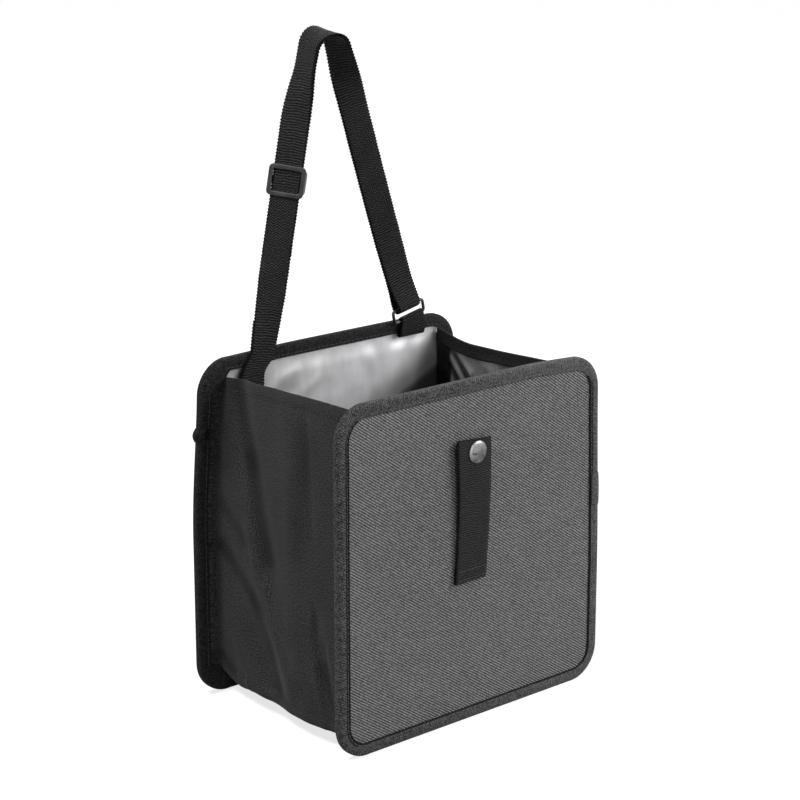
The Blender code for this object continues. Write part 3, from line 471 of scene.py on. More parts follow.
def wire_look():
    """Black lacquer on wire, chipped a little to grey."""
    look = Look("lacquered_wire", Specular_IOR_Level=0.6, Metallic=0.2)
    vector = look.place()[3]
    chip = look.noise(vector, 900.0, 3.0, 0.6).within(0.62, 0.72)
    flow = look.noise(vector, 300.0, 2.0)
    look.colour(chip * 0.6 + flow * 0.4, (0.1, 0.010), (0.9, 0.090))
    look.roughness(flow, 0.22, 0.42)
    return look.bump(flow * 0.00004 - chip * 0.00001)


# Dark reflection painted across the cap's plate: start and end as (x, z), width
CAP_DARK_REFLECTION = ((SNAP_X - 0.0050, SNAP_Z - 0.0002), (SNAP_X - 0.0030, SNAP_Z - 0.0006), 0.0014)


def nickel_look():
    """Nickel plate: fine scuffs, a little tarnish, a painted highlight toward the upper left and a
    painted dark reflection across it.
    """
    look = Look("nickel_plate", Metallic=1.0)
    x, _, z, vector = look.place()
    scuff = look.noise(vector, 700.0, 3.0, 0.65, (1.0, 1.0, 0.25))
    tarnish = look.noise(vector, 330.0, 3.0, 0.6)
    # Painted highlight: the cap lighter toward its upper left.
    broad_tone = (z - x * 0.5).within(SNAP_Z - 0.0020, SNAP_Z + 0.0060, -0.10, 0.20)
    # Painted dark reflection: a darker line across the cap's plate.
    share = scuff * 0.3 + tarnish * 0.7 + broad_tone - streak(x, z, *CAP_DARK_REFLECTION) * 0.34
    look.colour(share, (0.25, 0.030), (0.7, 0.215))
    look.roughness(scuff, 0.28, 0.44)
    return look.bump(scuff * 0.00002 + tarnish * 0.00006)


def board_look():
    """Grey-brown chipboard with fibres."""
    look = Look("chipboard", Specular_IOR_Level=0.2)
    vector = look.place()[3]
    fibre = look.noise(vector, 900.0, 3.0, 0.7, (0.2, 1.0, 1.0))
    share = fibre * 0.6 + look.noise(vector, 60.0, 2.0) * 0.4
    look.colour(share, (0.3, (0.34, 0.29, 0.23)), (0.7, (0.55, 0.50, 0.42)))
    look.roughness(fibre, 0.85, 1.0)
    return look.bump(fibre * 0.00008)


def thread_look(name, dark, light):
    """Twisted sewing thread."""
    look = Look(name, Sheen_Weight=0.2, Specular_IOR_Level=0.3)
    across, along, vector = look.weave()
    twist = (along * 1600.0 + across * 900.0).wave()
    fuzz = look.noise(vector, 2500.0, 1.0)
    look.colour(twist * 0.6 + fuzz * 0.4, (0.2, dark), (0.8, light))
    look.roughness(fuzz, 0.6, 0.85)
    return look.bump(twist * 0.00006)


# Mesh building

# Signs of x and y at the corners of a rectangle, anticlockwise
CORNER_SIGNS = ((1, 1), (-1, 1), (-1, -1), (1, -1))


def piece(name, verts, faces, uvs, look, node=None, slot=None, body="bin"):
    """Object from world points, with one (across, along) pair in metres for each point."""
    mesh = bpy.data.meshes.new(name)
    mesh.from_pydata([tuple(point) for point in verts], [], faces)
    layer = mesh.uv_layers.new(name="weave")
    for loop in mesh.loops:
        layer.data[loop.index].uv = uvs[loop.vertex_index]
    mesh.shade_smooth()
    mesh.materials.append(look)
    obj = linked(name, mesh)
    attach(obj, body)
    if node:
        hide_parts(node)
    return obj


def lengths(line):
    """Distance along a line of points, at each of them."""
    total = [0.0]
    for a, b in zip(line, line[1:]):
        total.append(total[-1] + (b - a).length)
    return total


def walk(total, distances):
    """Segment and share of it at each distance, along a line with these lengths."""
    index = 0
    for at in distances:
        while index < len(total) - 2 and total[index + 1] < at:
            index += 1
        span = total[index + 1] - total[index]
        yield index, (at - total[index]) / span if span else 0.0


def rounded(half_x, half_y, radius, steps):
    """Points of a rounded rectangle about the origin, anticlockwise."""
    found = []
    for corner, (sx, sy) in enumerate(CORNER_SIGNS):
        for step in range(steps + 1):
            x, y = circle(90 * (corner + step / steps), radius)
            found.append(Vector((sx * (half_x - radius) + x, sy * (half_y - radius) + y)))
    return found


def tube(count, ring, first=0, closed=False):
    """Faces between count rings of points."""
    faces = []
    for i in range(count if closed else count - 1):
        low, high = first + i * ring, first + (i + 1) % count * ring
        for j in range(ring):
            k = (j + 1) % ring
            faces.append((low + j, low + k, high + k, high + j))
    return faces


def grid(name, rows, look, thickness, closed=False, keep=None, uvs=None, **facts):
    """Cloth from rows of points, made solid about its middle surface."""
    count, width = len(rows), len(rows[0])
    if uvs is None:
        along = lengths([row[width // 2] for row in rows])
        across = lengths(rows[count // 2])
        uvs = [(u, v) for v in along for u in across]
    faces = []
    for i in range(count if closed else count - 1):
        for j in range(width - 1):
            if not keep or keep(i, j):
                low, high = i * width + j, (i + 1) % count * width + j
                faces.append((low, low + 1, high + 1, high))
    used = sorted({index for face in faces for index in face})
    new = {old: index for index, old in enumerate(used)}
    faces = [tuple(new[index] for index in face) for face in faces]
    verts = [rows[i // width][i % width] for i in used]
    obj = piece(name, verts, faces, [uvs[i] for i in used], look, **facts)
    solid = obj.modifiers.new("Thickness", "SOLIDIFY")
    solid.thickness, solid.offset = thickness, 0.0
    return obj


class Station:
    """A place on a band: its centre, width direction, outward normal and width."""

    def __init__(self, centre, across, normal, width=STRAP_WIDTH):
        self.centre, self.across = centre, across.normalized()
        self.normal, self.width = normal, width

    def shifted(self, offset):
        return Station(self.centre + self.normal * offset, self.across, self.normal, self.width)


def on_course(centre, across, along):
    """Station whose normal is square to its width and its course."""
    return Station(centre, across, across.normalized().cross(along).normalized())


BAND_STEPS = 12


def band(name, stations, look, pitch, seed, node, step=0.0005):
    """Webbing with rounded, lightly scalloped edges, swept along its stations."""
    total = lengths([station.centre for station in stations])
    count = max(2, round(total[-1] / step))
    shares = [-1 + 2 * k / BAND_STEPS for k in range(BAND_STEPS + 1)]
    section = [(s, 1.0) for s in shares] + [(s, -1.0) for s in reversed(shares)]
    verts, uvs = [], []
    places = walk(total, (total[-1] * k / count for k in range(count + 1)))
    for row, (index, t) in enumerate(places):
        a, b = stations[index], stations[index + 1]
        centre = a.centre.lerp(b.centre, t)
        across = a.across.lerp(b.across, t).normalized()
        normal = a.normal.lerp(b.normal, t).normalized()
        width, along = mix(a.width, b.width, t), row * total[-1] / count
        for s, face in section:
            at_edge = abs(s) == 1
            scallop = 0.00034 * math.sin(math.tau * along / pitch) * abs(s) ** 8
            wander = 0.00015 * rough(along * 120, s * 0.5, seed) * abs(s)
            half = width / 2 + scallop + wander - (0.00018 if at_edge else 0.0)
            lift = STRAP / 2 * (0.55 if at_edge else 1.0 - 0.12 * abs(s) ** 6) * face
            lift += 0.00010 * rough(along * 90, s * 2, seed + 3)
            lift += 0.00006 * face * bell(abs(s) - 0.90, 0.05)
            verts.append(centre + across * (s * half) + normal * lift)
            uvs.append((s * width / 2, along + (0 if face > 0 else 0.4)))
    ring = len(section)
    faces = tube(count + 1, ring)
    last = count * ring
    for j in range(BAND_STEPS):
        mirror = ring - 1 - j
        faces.append((j + 1, j, mirror, mirror - 1))
        faces.append((last + j, last + j + 1, last + mirror - 1, last + mirror))
    return piece(name, verts, faces, uvs, look, node, "webbing")


# Rings of one stitch: place along it as a share of its length, rise in thread radii
STITCH_RINGS = ((-0.5, -0.9), (-0.42, 0.1), (-0.2, 0.75), (0.2, 0.75), (0.42, 0.1), (0.5, -0.9))
THREAD_SIDES = 6


def stitches(name, runs, look, slot, length=0.0030, gap=0.0007, radius=0.00023):
    """Sewn thread along runs of (point, normal): short bowed stitches that dip at their ends."""
    verts, faces, uvs = [], [], []
    for run in runs:
        total = lengths([point for point, _ in run])
        count = int(total[-1] / (length + gap))
        middles = [(k + 0.5) * total[-1] / count for k in range(count)]
        for k, (index, t) in enumerate(walk(total, middles)):
            (a, normal), (b, _) = run[index], run[index + 1]
            along = (b - a).normalized()
            side = along.cross(normal).normalized()
            lean = 0.08 * rough(middles[k] * 900, k * 0.37, len(run) * 0.1)
            along = (along + side * lean).normalized()
            first = len(verts)
            for share, rise in STITCH_RINGS:
                size = radius * (0.75 if rise < 0 else 1.0)
                centre = a.lerp(b, t) + along * (share * length) + normal * (radius * rise)
                for corner in range(THREAD_SIDES):
                    x, y = circle(360 * corner / THREAD_SIDES, size)
                    verts.append(centre + side * x + normal * y)
                    around = size * math.tau * corner / THREAD_SIDES
                    uvs.append((around, middles[k] + share * length))
            faces += tube(len(STITCH_RINGS), THREAD_SIDES, first)
            faces.append(tuple(range(first + THREAD_SIDES - 1, first - 1, -1)))
            faces.append(tuple(range(len(verts) - THREAD_SIDES, len(verts))))
    return piece(name, verts, faces, uvs, look, slot=slot)


def moulding(outer, inner, front, back):
    """Closed frame between two matching outlines, its section a rounded rectangle."""
    verts, uvs = [], []
    section = rounded(0.5, 0.5, 0.425, 5)
    for a, b in zip(outer, inner):
        for u, v in section:
            flat = (a + b) / 2 + (a - b) * u
            verts.append(Vector((flat.x, mix(front, back, v + 0.5), flat.y)))
            uvs.append((flat.x, flat.y))
    return verts, tube(len(outer), len(section), closed=True), uvs


def rod(size, centre, rows=8, round_off=0.0004):
    """Closed bar along Z with rounded edges and ends."""
    verts, uvs = [], []
    for k in range(rows + 1):
        fall = min(k, rows - k) / rows * size.z
        squeeze = round_off - math.sqrt(max(round_off**2 - max(round_off - fall, 0) ** 2, 0))
        for x, y in rounded(size.x / 2 - squeeze, size.y / 2 - squeeze, round_off - squeeze, 4):
            verts.append(centre + Vector((x, y, size.z * (k / rows - 0.5))))
            uvs.append((x, size.z * (k / rows - 0.5)))
    ring = len(verts) // (rows + 1)
    ends = [tuple(range(ring - 1, -1, -1)), tuple(range(rows * ring, (rows + 1) * ring))]
    return verts, tube(rows + 1, ring) + ends, uvs


# Panels

EDGE_STEP, CORNER_TURNS = 0.0022, 18


def perimeter():
    """Edge points of a panel, inward directions and how far each is into a corner."""
    found = []
    half_x, half_z = WIDTH / 2 - CORNER, HEIGHT / 2 - CORNER
    for corner, (sx, sz) in enumerate(CORNER_SIGNS):
        centre = Vector((sx * half_x, HEIGHT / 2 + sz * half_z))
        for k in range(CORNER_TURNS + 1):
            out = Vector(circle(90 * (corner + k / CORNER_TURNS)))
            found.append((centre + out * CORNER, -out, hump(k / CORNER_TURNS)))
        start, inward, _ = found[-1]
        side = Vector((inward.y, -inward.x))
        span = 2 * (half_z if corner % 2 else half_x)
        count = round(span / EDGE_STEP)
        for k in range(1, count):
            found.append((start + side * (span * k / count), inward, 0.0))
    return found


EDGE = perimeter()
EDGE_ALONG = lengths([point for point, _, _ in EDGE])
# How far the tape stands off the panel's edge, on the left and at the top
TAPE_STANDS_OFF = {FRONT: (0.0018, 0.0), BACK: (0.0018, 0.0013)}
# Overlapped end of each tape: lowest and highest z, edge of the panel, how far it bulges
TAPE_ENDS = {FRONT: (0.117, 0.142, RIGHT, 0.0004), BACK: (0.171, 0.181, LEFT, 0.0020)}
# How much wider the inner half of the rear tape is at its left corners
REAR_CORNER_TAPE = 0.0080
STITCH_INSET, THREAD_SUNK, THREAD_LIFT = 0.0068, 0.00010, 0.00008


def edge_point(index, inset, depth, side):
    """Point of the tape's course, moved out as far as the tape stands off."""
    point, inward, _ = EDGE[index % len(EDGE)]
    left, top = TAPE_STANDS_OFF[side]
    inset -= left * max(inward.x, 0.0) + top * max(-inward.y, 0.0)
    flat = point + inward * inset
    return settled((flat.x, panel_y(side, depth), flat.y))


def tape_section():
    """(inset, depth, face) of the tape's middle surface; face is -1 outside, 1 inside."""
    near, far = TAPE / 2, PANEL_THICKNESS - TAPE / 2
    flat = [mix(TAPE_COVER, near + TAPE_ROLL, k / 12) for k in range(12)]
    points = [(inset, near, -1) for inset in flat]
    for middle, start in ((near + TAPE_ROLL, 90), (far - TAPE_ROLL, 180)):
        for k in range(5):
            x, y = circle(start + 22.5 * k, TAPE_ROLL)
            points.append((near + TAPE_ROLL + x, middle - y, 0))
    return points + [(inset, far, 1) for inset in reversed(flat)]


def tape_rows(side, seed, raised=0.0, indices=range(len(EDGE)), bulge=0.0):
    """Rows of points round the panel: puffed along the middle, drawn in along the stitching."""
    rows, section = [], tape_section()
    for place, index in enumerate(indices):
        at = EDGE_ALONG[index]
        point, inward, corner = EDGE[index]
        top = max(-inward.y, 0.0)
        wide = side == BACK and point.x < 0
        swell = bulge * hump(place / max(len(indices) - 1, 1))
        row = []
        for inset, depth, face in section:
            wander = 0.00022 * rough(at * 70, face * 3.0, seed) * ease((inset - 0.004) / 0.004)
            ragged = ease((0.0075 - inset) / 0.002)
            puff = 0.00042 * hump((inset - 0.0008) / 0.0054)
            puff += 0.00014 * rough(at * 130, inset * 350, seed + 5) * ragged
            puff -= 0.00026 * bell(inset - STITCH_INSET, 0.00070)
            puff += 0.00016 * (1 - 2 * top) * ease((inset - 0.0078) / 0.0006)
            pleat = 0.00016 * corner * math.sin(at * math.tau / 0.0046)
            out = puff + pleat * ease((inset - 0.003) / 0.004) + raised
            roll = raised + swell if face == 0 else swell * ease(1 - inset / TAPE_COVER)
            widened = REAR_CORNER_TAPE * corner * (face > 0) * wide * inset / TAPE_COVER
            row.append(edge_point(index, inset + wander + widened - roll, depth + face * out, side))
        rows.append(row)
    return rows


def stitch_run(side, face):
    """Run of stitching round a panel on its outer (-1) or inner (1) face."""
    depth = THREAD_SUNK if face < 0 else PANEL_THICKNESS - THREAD_SUNK
    normal = Vector((0, -face * side, 0))
    indices = range(len(EDGE) + 1)
    return [(edge_point(index, STITCH_INSET, depth, side), normal) for index in indices]


def edge_distance(x, z):
    """Distance of a point inside the panel from the panel's edge."""
    over_x = abs(x) - (WIDTH / 2 - CORNER)
    over_z = abs(z - HEIGHT / 2) - (HEIGHT / 2 - CORNER)
    outside = math.hypot(max(over_x, 0.0), max(over_z, 0.0))
    return CORNER - outside - min(max(over_x, over_z), 0.0)


SHEET_STEPS, SHEET_INSET, POST_HOLE = 92, 0.0030, 0.0030


def panel_sheet(name, side, depth, thickness, look, lift, node, slot, toward):
    """A panel's cloth or film: flat on the board, lifting a little where it is loose."""
    shares = [k / SHEET_STEPS for k in range(SHEET_STEPS + 1)]
    xs = [mix(SHEET_INSET - WIDTH / 2, WIDTH / 2 - SHEET_INSET, share) for share in shares]
    zs = [mix(SHEET_INSET, HEIGHT - SHEET_INSET, share) for share in shares]
    y = panel_y(side, depth + thickness / 2)
    rows = [[settled((x, y + toward * lift(x, z), z)) for x in xs] for z in zs]

    def keep(i, j):
        x, z = (xs[j] + xs[j + 1]) / 2, (zs[i] + zs[i + 1]) / 2
        holed = side == FRONT and math.hypot(x - SNAP_X, z - SNAP_Z) < POST_HOLE
        return edge_distance(x, z) >= SHEET_INSET and not holed

    made = grid(name, rows, look, thickness, keep=keep, node=node, slot=slot)
    board = [name.split("_")[0] + "_board"]
    return made


def cloth_lift(x, z):
    """Loose twill: shallow swells over the board."""
    return 0.00010 + 0.00010 * rough(x * 22, z * 22, 2.0) + 0.00004 * rough(x * 90, z * 90, 4.0)


def crease_weight(x, y, start, end, width, gentle=None):
    """Weight of (x, y) about a line from start to end; the gentle side is clockwise of it."""
    along, place = Vector(end) - Vector(start), Vector((x, y)) - Vector(start)
    if gentle and along.x * place.y < along.y * place.x:
        width = gentle
    share = min(max(place.dot(along) / along.length_squared, 0.0), 1.0)
    return bell((place - along * share).length, width)


# Soft creases of the rear lining: height, start and end as (x, z), width, in metres
LINING_CREASES = (
    (0.0009, (-0.060, 0.190), (-0.030, 0.205), 0.0050),
    (0.0007, (-0.045, 0.176), (-0.012, 0.196), 0.0040),
    (0.0011, (-0.010, 0.214), (-0.022, 0.160), 0.0080),
    (0.0008, (0.030, 0.214), (0.042, 0.180), 0.0050),
    (0.0012, (0.062, 0.212), (0.050, 0.165), 0.0070),
    (0.0008, (0.078, 0.205), (0.070, 0.150), 0.0050),
    (0.0007, (-0.082, 0.195), (-0.060, 0.150), 0.0060),
)


def film_lift(x, z):
    """Loose film: broad pillows and soft creases toward the inside."""
    inside = ease((WIDTH / 2 - 0.012 - abs(x)) / 0.012) * ease((HEIGHT - 0.010 - z) / 0.010)
    inside *= ease((z - 0.016) / 0.012)
    lift = 0.0006 + 0.0006 * rough(x * 26, z * 20, 7.0) + 0.00025 * rough(x * 75, z * 60, 9.0)
    lift += sum(height * crease_weight(x, z, *shape) for height, *shape in LINING_CREASES)
    return max(lift, 0.0) * inside


# Gusset


def rim_height(wall, t):
    front, back = RIMS[wall]
    if wall == LEFT:
        return HEIGHT - mix(front, back, t * t)
    return HEIGHT - mix(front, back, t) - RIGHT_RIM_SAG * hump(t**1.8)


def hold(t):
    return hump(t) ** 0.7


# Folds: depth outward, start and end as (t, share of the height), width, and the wider side's
# width; the first rows are the part's own, the later ones finer
FOLDS = {
    LEFT: (
        (-0.0048, (0.99, 0.46), (0.57, 0.07), 0.040, 0.100),
        (-0.0044, (0.90, 0.97), (0.62, 0.44), 0.038, 0.095),
        (-0.0024, (0.99, 0.59), (0.80, 0.48), 0.026, 0.060),
        (0.0012, (0.90, 0.66), (0.80, 0.30), 0.060),
        (0.0020, (0.74, 0.52), (0.44, 0.14), 0.060),
        (-0.0030, (0.24, 0.32), (0.14, 0.04), 0.026, 0.070),
        (0.0010, (0.45, 0.90), (0.40, 0.50), 0.080),
        (0.0018, (0.40, 0.30), (0.30, 0.10), 0.070),
        (-0.0012, (0.95, 0.97), (0.80, 0.66), 0.024),
        (0.0012, (0.98, 0.30), (0.78, 0.08), 0.030),
        (-0.0013, (0.18, 0.28), (0.10, 0.05), 0.018),
        (0.0011, (0.24, 0.20), (0.14, 0.02), 0.022),
        (-0.0012, (0.34, 0.14), (0.12, 0.09), 0.020),
        (0.0016, (0.98, 0.085), (0.84, 0.05), 0.018),
        (-0.0016, (0.96, 0.035), (0.80, 0.085), 0.016),
        (-0.0008, (0.30, 0.92), (0.26, 0.60), 0.030),
        (-0.0009, (0.62, 0.34), (0.44, 0.20), 0.026),
    ),
    RIGHT: (
        (0.0028, (0.95, 0.90), (0.60, 0.55), 0.070),
        (-0.0030, (0.88, 0.95), (0.42, 0.62), 0.070),
        (-0.0022, (0.90, 0.45), (0.60, 0.10), 0.090),
        (-0.0020, (0.45, 0.50), (0.40, 0.35), 0.200),
        (-0.0020, (0.93, 0.925), (0.74, 0.840), 0.013),
        (0.0014, (0.93, 0.900), (0.76, 0.800), 0.011),
        (-0.0020, (0.92, 0.875), (0.78, 0.760), 0.013),
        (0.0012, (0.92, 0.845), (0.82, 0.725), 0.012),
        (-0.0010, (0.84, 0.97), (0.46, 0.80), 0.022),
        (-0.0012, (0.88, 0.40), (0.50, 0.12), 0.028),
        (0.0009, (0.20, 0.60), (0.16, 0.20), 0.030),
        (-0.0007, (0.30, 0.75), (0.34, 0.40), 0.030),
        (0.0010, (0.96, 0.10), (0.80, 0.05), 0.022),
    ),
}
# Rows of the hem below the rim, the last ones about its stitching
HEM_DROPS = (0.0008, 0.0020, 0.0032, 0.0046, 0.0058, 0.0067, 0.0074, 0.0078, 0.0083)
HEM_STITCHING, HEM_PUFF = 0.0078, 0.0074


def slack(wall, t, z):
    """How far the cloth stands out at t and z: folds, swells, seam ripples and hem."""
    height = z / HEIGHT
    out = sum(depth * crease_weight(t, height, *shape) for depth, *shape in FOLDS[wall])
    out += 0.00055 * rough(t * 4.2 + wall * 9, height * 6.5, 11.0)
    out += 0.00018 * rough(t * 13 + wall * 5, height * 19, 13.0)
    ripple = math.sin(z * math.tau / 0.0105 + 2.5 * rough(z * 60, t * 2, 15.0))
    out += 0.00030 * ripple * bell(min(t, 1 - t) - 0.035, 0.045)
    drop = rim_height(wall, t) - z
    out += 0.00050 * (hump(drop / HEM_PUFF) - 0.6 * bell(drop - HEM_STITCHING, 0.0011))
    return out * hold(t)


def rear_sag(left, t):
    """Drop of the strip's underside where it puckers by the rear panel, on the left."""
    return 0.0042 * left * bell(t - 0.88, 0.09) * ease((1 - t) / 0.05)


def run_out(x, z, across, down, inset):
    """Point on the way outward that lies inset from the panel's edge."""
    near, far = 0.0, 2 * CORNER
    for _ in range(24):
        reach = (near + far) / 2
        if edge_distance(x + across * reach, z - down * reach) > inset:
            near = reach
        else:
            far = reach
    return x + across * near, z - down * near


SPAN_START = (PANEL_THICKNESS + GAP) / DEPTH
SPANS, WALL_ROWS, TURN_ROWS, BASE_ROWS = 84, 84, 12, 48
CORNER_DRAW = 0.0035
# Metres of cloth between the seams, and places of the seam allowances' points beyond them
STRIP_SPAN, FLANGE_STEPS = 0.1365, (0.006, 0.004, 0.002)
STATIONS = [j / SPANS for j in range(SPANS + 1)]


class StripRow:
    """One row across the gusset strip, from the front panel (t = 0) to the back (t = 1)."""

    def __init__(self, wall, drop=None, share=None, angle=None, x_share=None):
        self.wall, self.drop, self.share = wall, drop, share
        self.angle, self.x_share = angle, x_share

    def frame(self, t):
        """Middle-surface point (x, z) at t and its outward direction as (across, down)."""
        drawn = ease(t) * t
        inset = mix(SEAM_INSET, BACK_SEAM_INSET, drawn)
        radius = mix(BASE_CORNER, BACK_BASE_CORNER, drawn)
        turn_x, turn_z = WIDTH / 2 - inset - radius, SEAM_INSET + radius
        if self.x_share is not None:
            near_turn = 1 - abs(self.x_share)
            sag = BASE_BULGE * hold(t) * bell(near_turn, 0.2)
            sag += rear_sag(self.x_share < 0, t) * bell(near_turn, 0.12)
            sag += 0.0004 * hold(t) * rough(self.x_share * 7, t * 5, 17.0)
            return self.x_share * turn_x, SEAM_INSET - sag, 0.0, 1.0
        if self.angle is not None:
            out, below = circle(self.angle)
            down = self.angle / 90
            bulge = mix(slack(self.wall, t, turn_z), BASE_BULGE * hold(t), ease(down))
            bulge += CORNER_BULGE * hold(t) * hump(down)
            x = self.wall * (turn_x + out * (radius + bulge))
            z = turn_z - below * (radius + bulge) - rear_sag(self.wall == LEFT, t) * down
            return x, z, self.wall * out, below
        rim = rim_height(self.wall, t)
        z = rim - self.drop if self.share is None else mix(rim - HEM, turn_z, self.share)
        out = WIDTH / 2 - inset + slack(self.wall, t, z)
        if self.wall == LEFT:
            out -= CORNER_DRAW * ease((t - 0.72) / 0.28) * ease((z - HEIGHT + 0.046) / 0.040)
        return self.wall * out, z, float(self.wall), 0.0

    def place(self, t, offset=0.0):
        x, z, across, down = self.frame(t)
        y = mix(-DEPTH / 2, DEPTH / 2, mix(SPAN_START, 1 - SPAN_START, t))
        return settled((x - across * offset, y, z + down * offset))

    def flange(self, side):
        """Seam allowance under a tape, from its hidden edge to the bend."""
        x, z, across, down = self.frame(0.0 if side == FRONT else 1.0)
        y = panel_y(side, FLANGE_DEPTH + CLOTH / 2)
        hidden = run_out(x, z, across, down, LAYER_INSET)
        points = [settled((hidden[0], y, hidden[1]))]
        for back, rise in ((3 * FLANGE_BEND, 0.0), (FLANGE_BEND, 0.6 * FLANGE_BEND)):
            points.append(settled((x + across * back, y - side * rise, z - down * back)))
        return points

    def has_flange(self, side):
        x, z = self.frame(0.0 if side == FRONT else 1.0)[:2]
        return edge_distance(x, z) > TAPE_COVER + FLANGE_BEND


def strip_rows():
    """Rows of the strip from the left rim, under the bin and up to the right rim."""
    sides = []
    for wall in (LEFT, RIGHT):
        side = [StripRow(wall, drop=drop) for drop in HEM_DROPS]
        side += [StripRow(wall, share=k / WALL_ROWS) for k in range(WALL_ROWS + 1)]
        side += [StripRow(wall, angle=90 * k / TURN_ROWS) for k in range(1, TURN_ROWS)]
        sides.append(side)
    base = [StripRow(LEFT, x_share=2 * k / BASE_ROWS - 1) for k in range(BASE_ROWS + 1)]
    return sides[0] + base + sides[1][::-1]


def hem_rows(wall, offset):
    """Rows of the turned-in hem, over the rim and down the inside."""
    top, found = StripRow(wall, drop=HEM_DROPS[0]), []
    for back, rise in half_turn(20):
        row = [top.place(t, offset / 2 * (1 - back)) for t in STATIONS]
        found.append([point + UP * (offset / 2 * rise) for point in row])
    for drop in (*HEM_DROPS, HEM):
        found.append([StripRow(wall, drop=drop).place(t, offset) for t in STATIONS])
    return found


def gusset(look):
    offset = CLOTH + FILM + 2 * GAP
    blank = [Vector((0, 0, 0))] * len(FLANGE_STEPS)
    middle = strip_rows()
    left, right = hem_rows(LEFT, offset)[::-1], hem_rows(RIGHT, offset)
    rows = [blank + row + blank for row in left]
    for row in middle:
        points = [row.place(t) for t in STATIONS]
        rows.append(row.flange(FRONT) + points + row.flange(BACK)[::-1])
    rows += [blank + row + blank for row in right]
    held = [[row.has_flange(side) for side in (FRONT, BACK)] for row in middle]
    held = [(False, False)] * len(left) + held + [(False, False)] * len(right)

    def keep(i, j):
        if len(blank) <= j < len(blank) + SPANS:
            return True
        side = 0 if j < len(blank) else 1
        return held[i][side] and held[i + 1][side]

    along = lengths([row[len(blank) + SPANS // 2] for row in rows])
    across = [-step for step in FLANGE_STEPS] + [t * STRIP_SPAN for t in STATIONS]
    across += [STRIP_SPAN + step for step in reversed(FLANGE_STEPS)]
    uvs = [(u, v) for v in along for u in across]
    facts = {"node": "gusset", "slot": "gusset"}
    made = grid("gusset_strip", rows, look, CLOTH, keep=keep, uvs=uvs, **facts)
    return made


def gusset_lining(look):
    wall_offset = CLOTH / 2 + GAP + FILM / 2
    base_offset = wall_offset + BOARD + GAP
    rows = []
    for row in strip_rows():
        if row.drop == HEM_DROPS[0]:
            continue
        down = 0.0 if row.angle is None else row.angle / 90
        points = []
        for t in STATIONS:
            point = row.place(t, mix(wall_offset, base_offset + BASE_BULGE * hold(t), down))
            if row.x_share is not None:
                lift = 0.0003 * (1 + rough(point.x * 40, point.y * 40))
                point.z = SEAM_INSET + base_offset + lift
            points.append(point)
        rows.append(points)
    made = grid("side_lining", rows, look, FILM, node="gusset_lining", slot="film")
    return made


def hem_run(wall):
    """Stitching along a hem, on the outside of the strip."""
    row = StripRow(wall, drop=HEM_STITCHING)
    normal = Vector((wall, 0, 0))
    return [(row.place(t, -CLOTH / 2 - THREAD_LIFT), normal) for t in STATIONS[2:-2]]


# Strap

STRAP_Y = DEPTH / 2 - PANEL_THICKNESS - GAP - STRAP - GAP / 2
PLY_OFFSET = (STRAP + GAP) / 2
LEFT_ALONG = Vector((LEFT_LEAN, 0, 1)).normalized()
SLIDER_REACH = SLIDER_HEIGHT / 2 + SLIDER_TRAVEL + 0.001
SPAN_LOW, SPAN_HIGH = SLIDER_RISE - SLIDER_REACH, SLIDER_RISE + SLIDER_REACH
# Room that the webbing's ribs need round the turned ring
FOLD_EASE = 0.0004
# Length by the ring over which the plies part
PLIES_PART = 0.022
LEG_STEPS, ANCHOR_STEPS, ARCH_STEPS = 90, 20, 30


def turn_direction(degrees, tip=0.0):
    (ahead, aside), (flat, up) = circle(degrees), circle(tip)
    return Vector((ahead * flat, aside * flat, up))


def square_to(way, along):
    return (way - along * way.dot(along)).normalized()


def left_line(rise):
    return Vector((LEFT_FOOT_X + LEFT_LEAN * rise, STRAP_Y, HEIGHT + rise))


def arch():
    """Centre of the strap's top bend, its leans and its two ends, as (x, rise)."""
    lean_left, lean_right = math.atan(LEFT_LEAN), math.atan(RIGHT_LEAN)
    centre_z = STRAP_RISE - ARCH_RADIUS
    start = Vector((-math.cos(lean_left), math.sin(lean_left)))
    left_x = LEFT_FOOT_X + LEFT_LEAN * (centre_z + ARCH_RADIUS * start.y)
    centre = Vector((left_x - ARCH_RADIUS * start.x, centre_z))
    end = Vector((math.cos(lean_right), math.sin(lean_right)))
    return centre, lean_left, lean_right, centre + ARCH_RADIUS * start, centre + ARCH_RADIUS * end


def ring_pose():
    seat = Vector((TAB_X + RING_SHIFT, STRAP_Y - RING_FORWARD, HEIGHT + RING_SEAT_RISE))
    return Matrix.Translation(seat) @ Matrix.Rotation(math.radians(-RING_TILT), 4, "Y")


def left_leg():
    """Stations from the sewn foot to the top bend: upright, twisted, held flat by the slider."""
    stations = []
    for k in range(ANCHOR_STEPS):
        rise = ANCHOR_DEPTH * (k / ANCHOR_STEPS - 1)
        lean_in = ease((rise + LEAN_IN) / LEAN_IN)
        x = mix(ANCHOR_X, LEFT_FOOT_X + LEFT_LEAN * rise, lean_in)
        way = turn_direction(0, -math.degrees(math.atan(LEFT_LEAN)) * lean_in)
        stations.append(on_course(Vector((x, STRAP_Y, HEIGHT + rise)), way, UP))
    top_rise = arch()[3].y
    for k in range(LEG_STEPS + 1):
        rise = mix(0.0, top_rise, k / LEG_STEPS)
        if rise <= SPAN_LOW:
            share = rise / SPAN_LOW
            turn = SLIDER_TURN * mix(share, ease(share), share)
        elif rise <= SPAN_HIGH:
            turn = SLIDER_TURN
        else:
            share = (rise - SPAN_HIGH) / (top_rise - SPAN_HIGH)
            turn = mix(SLIDER_TURN, LEFT_TOP_TURN, ease(1.2 * share))
        centre = left_line(rise)
        centre.y -= ARCH_FORWARD * ease((rise - SPAN_HIGH) / (STRAP_RISE - SPAN_HIGH))
        stations.append(on_course(centre, square_to(turn_direction(turn), LEFT_ALONG), LEFT_ALONG))
    return stations


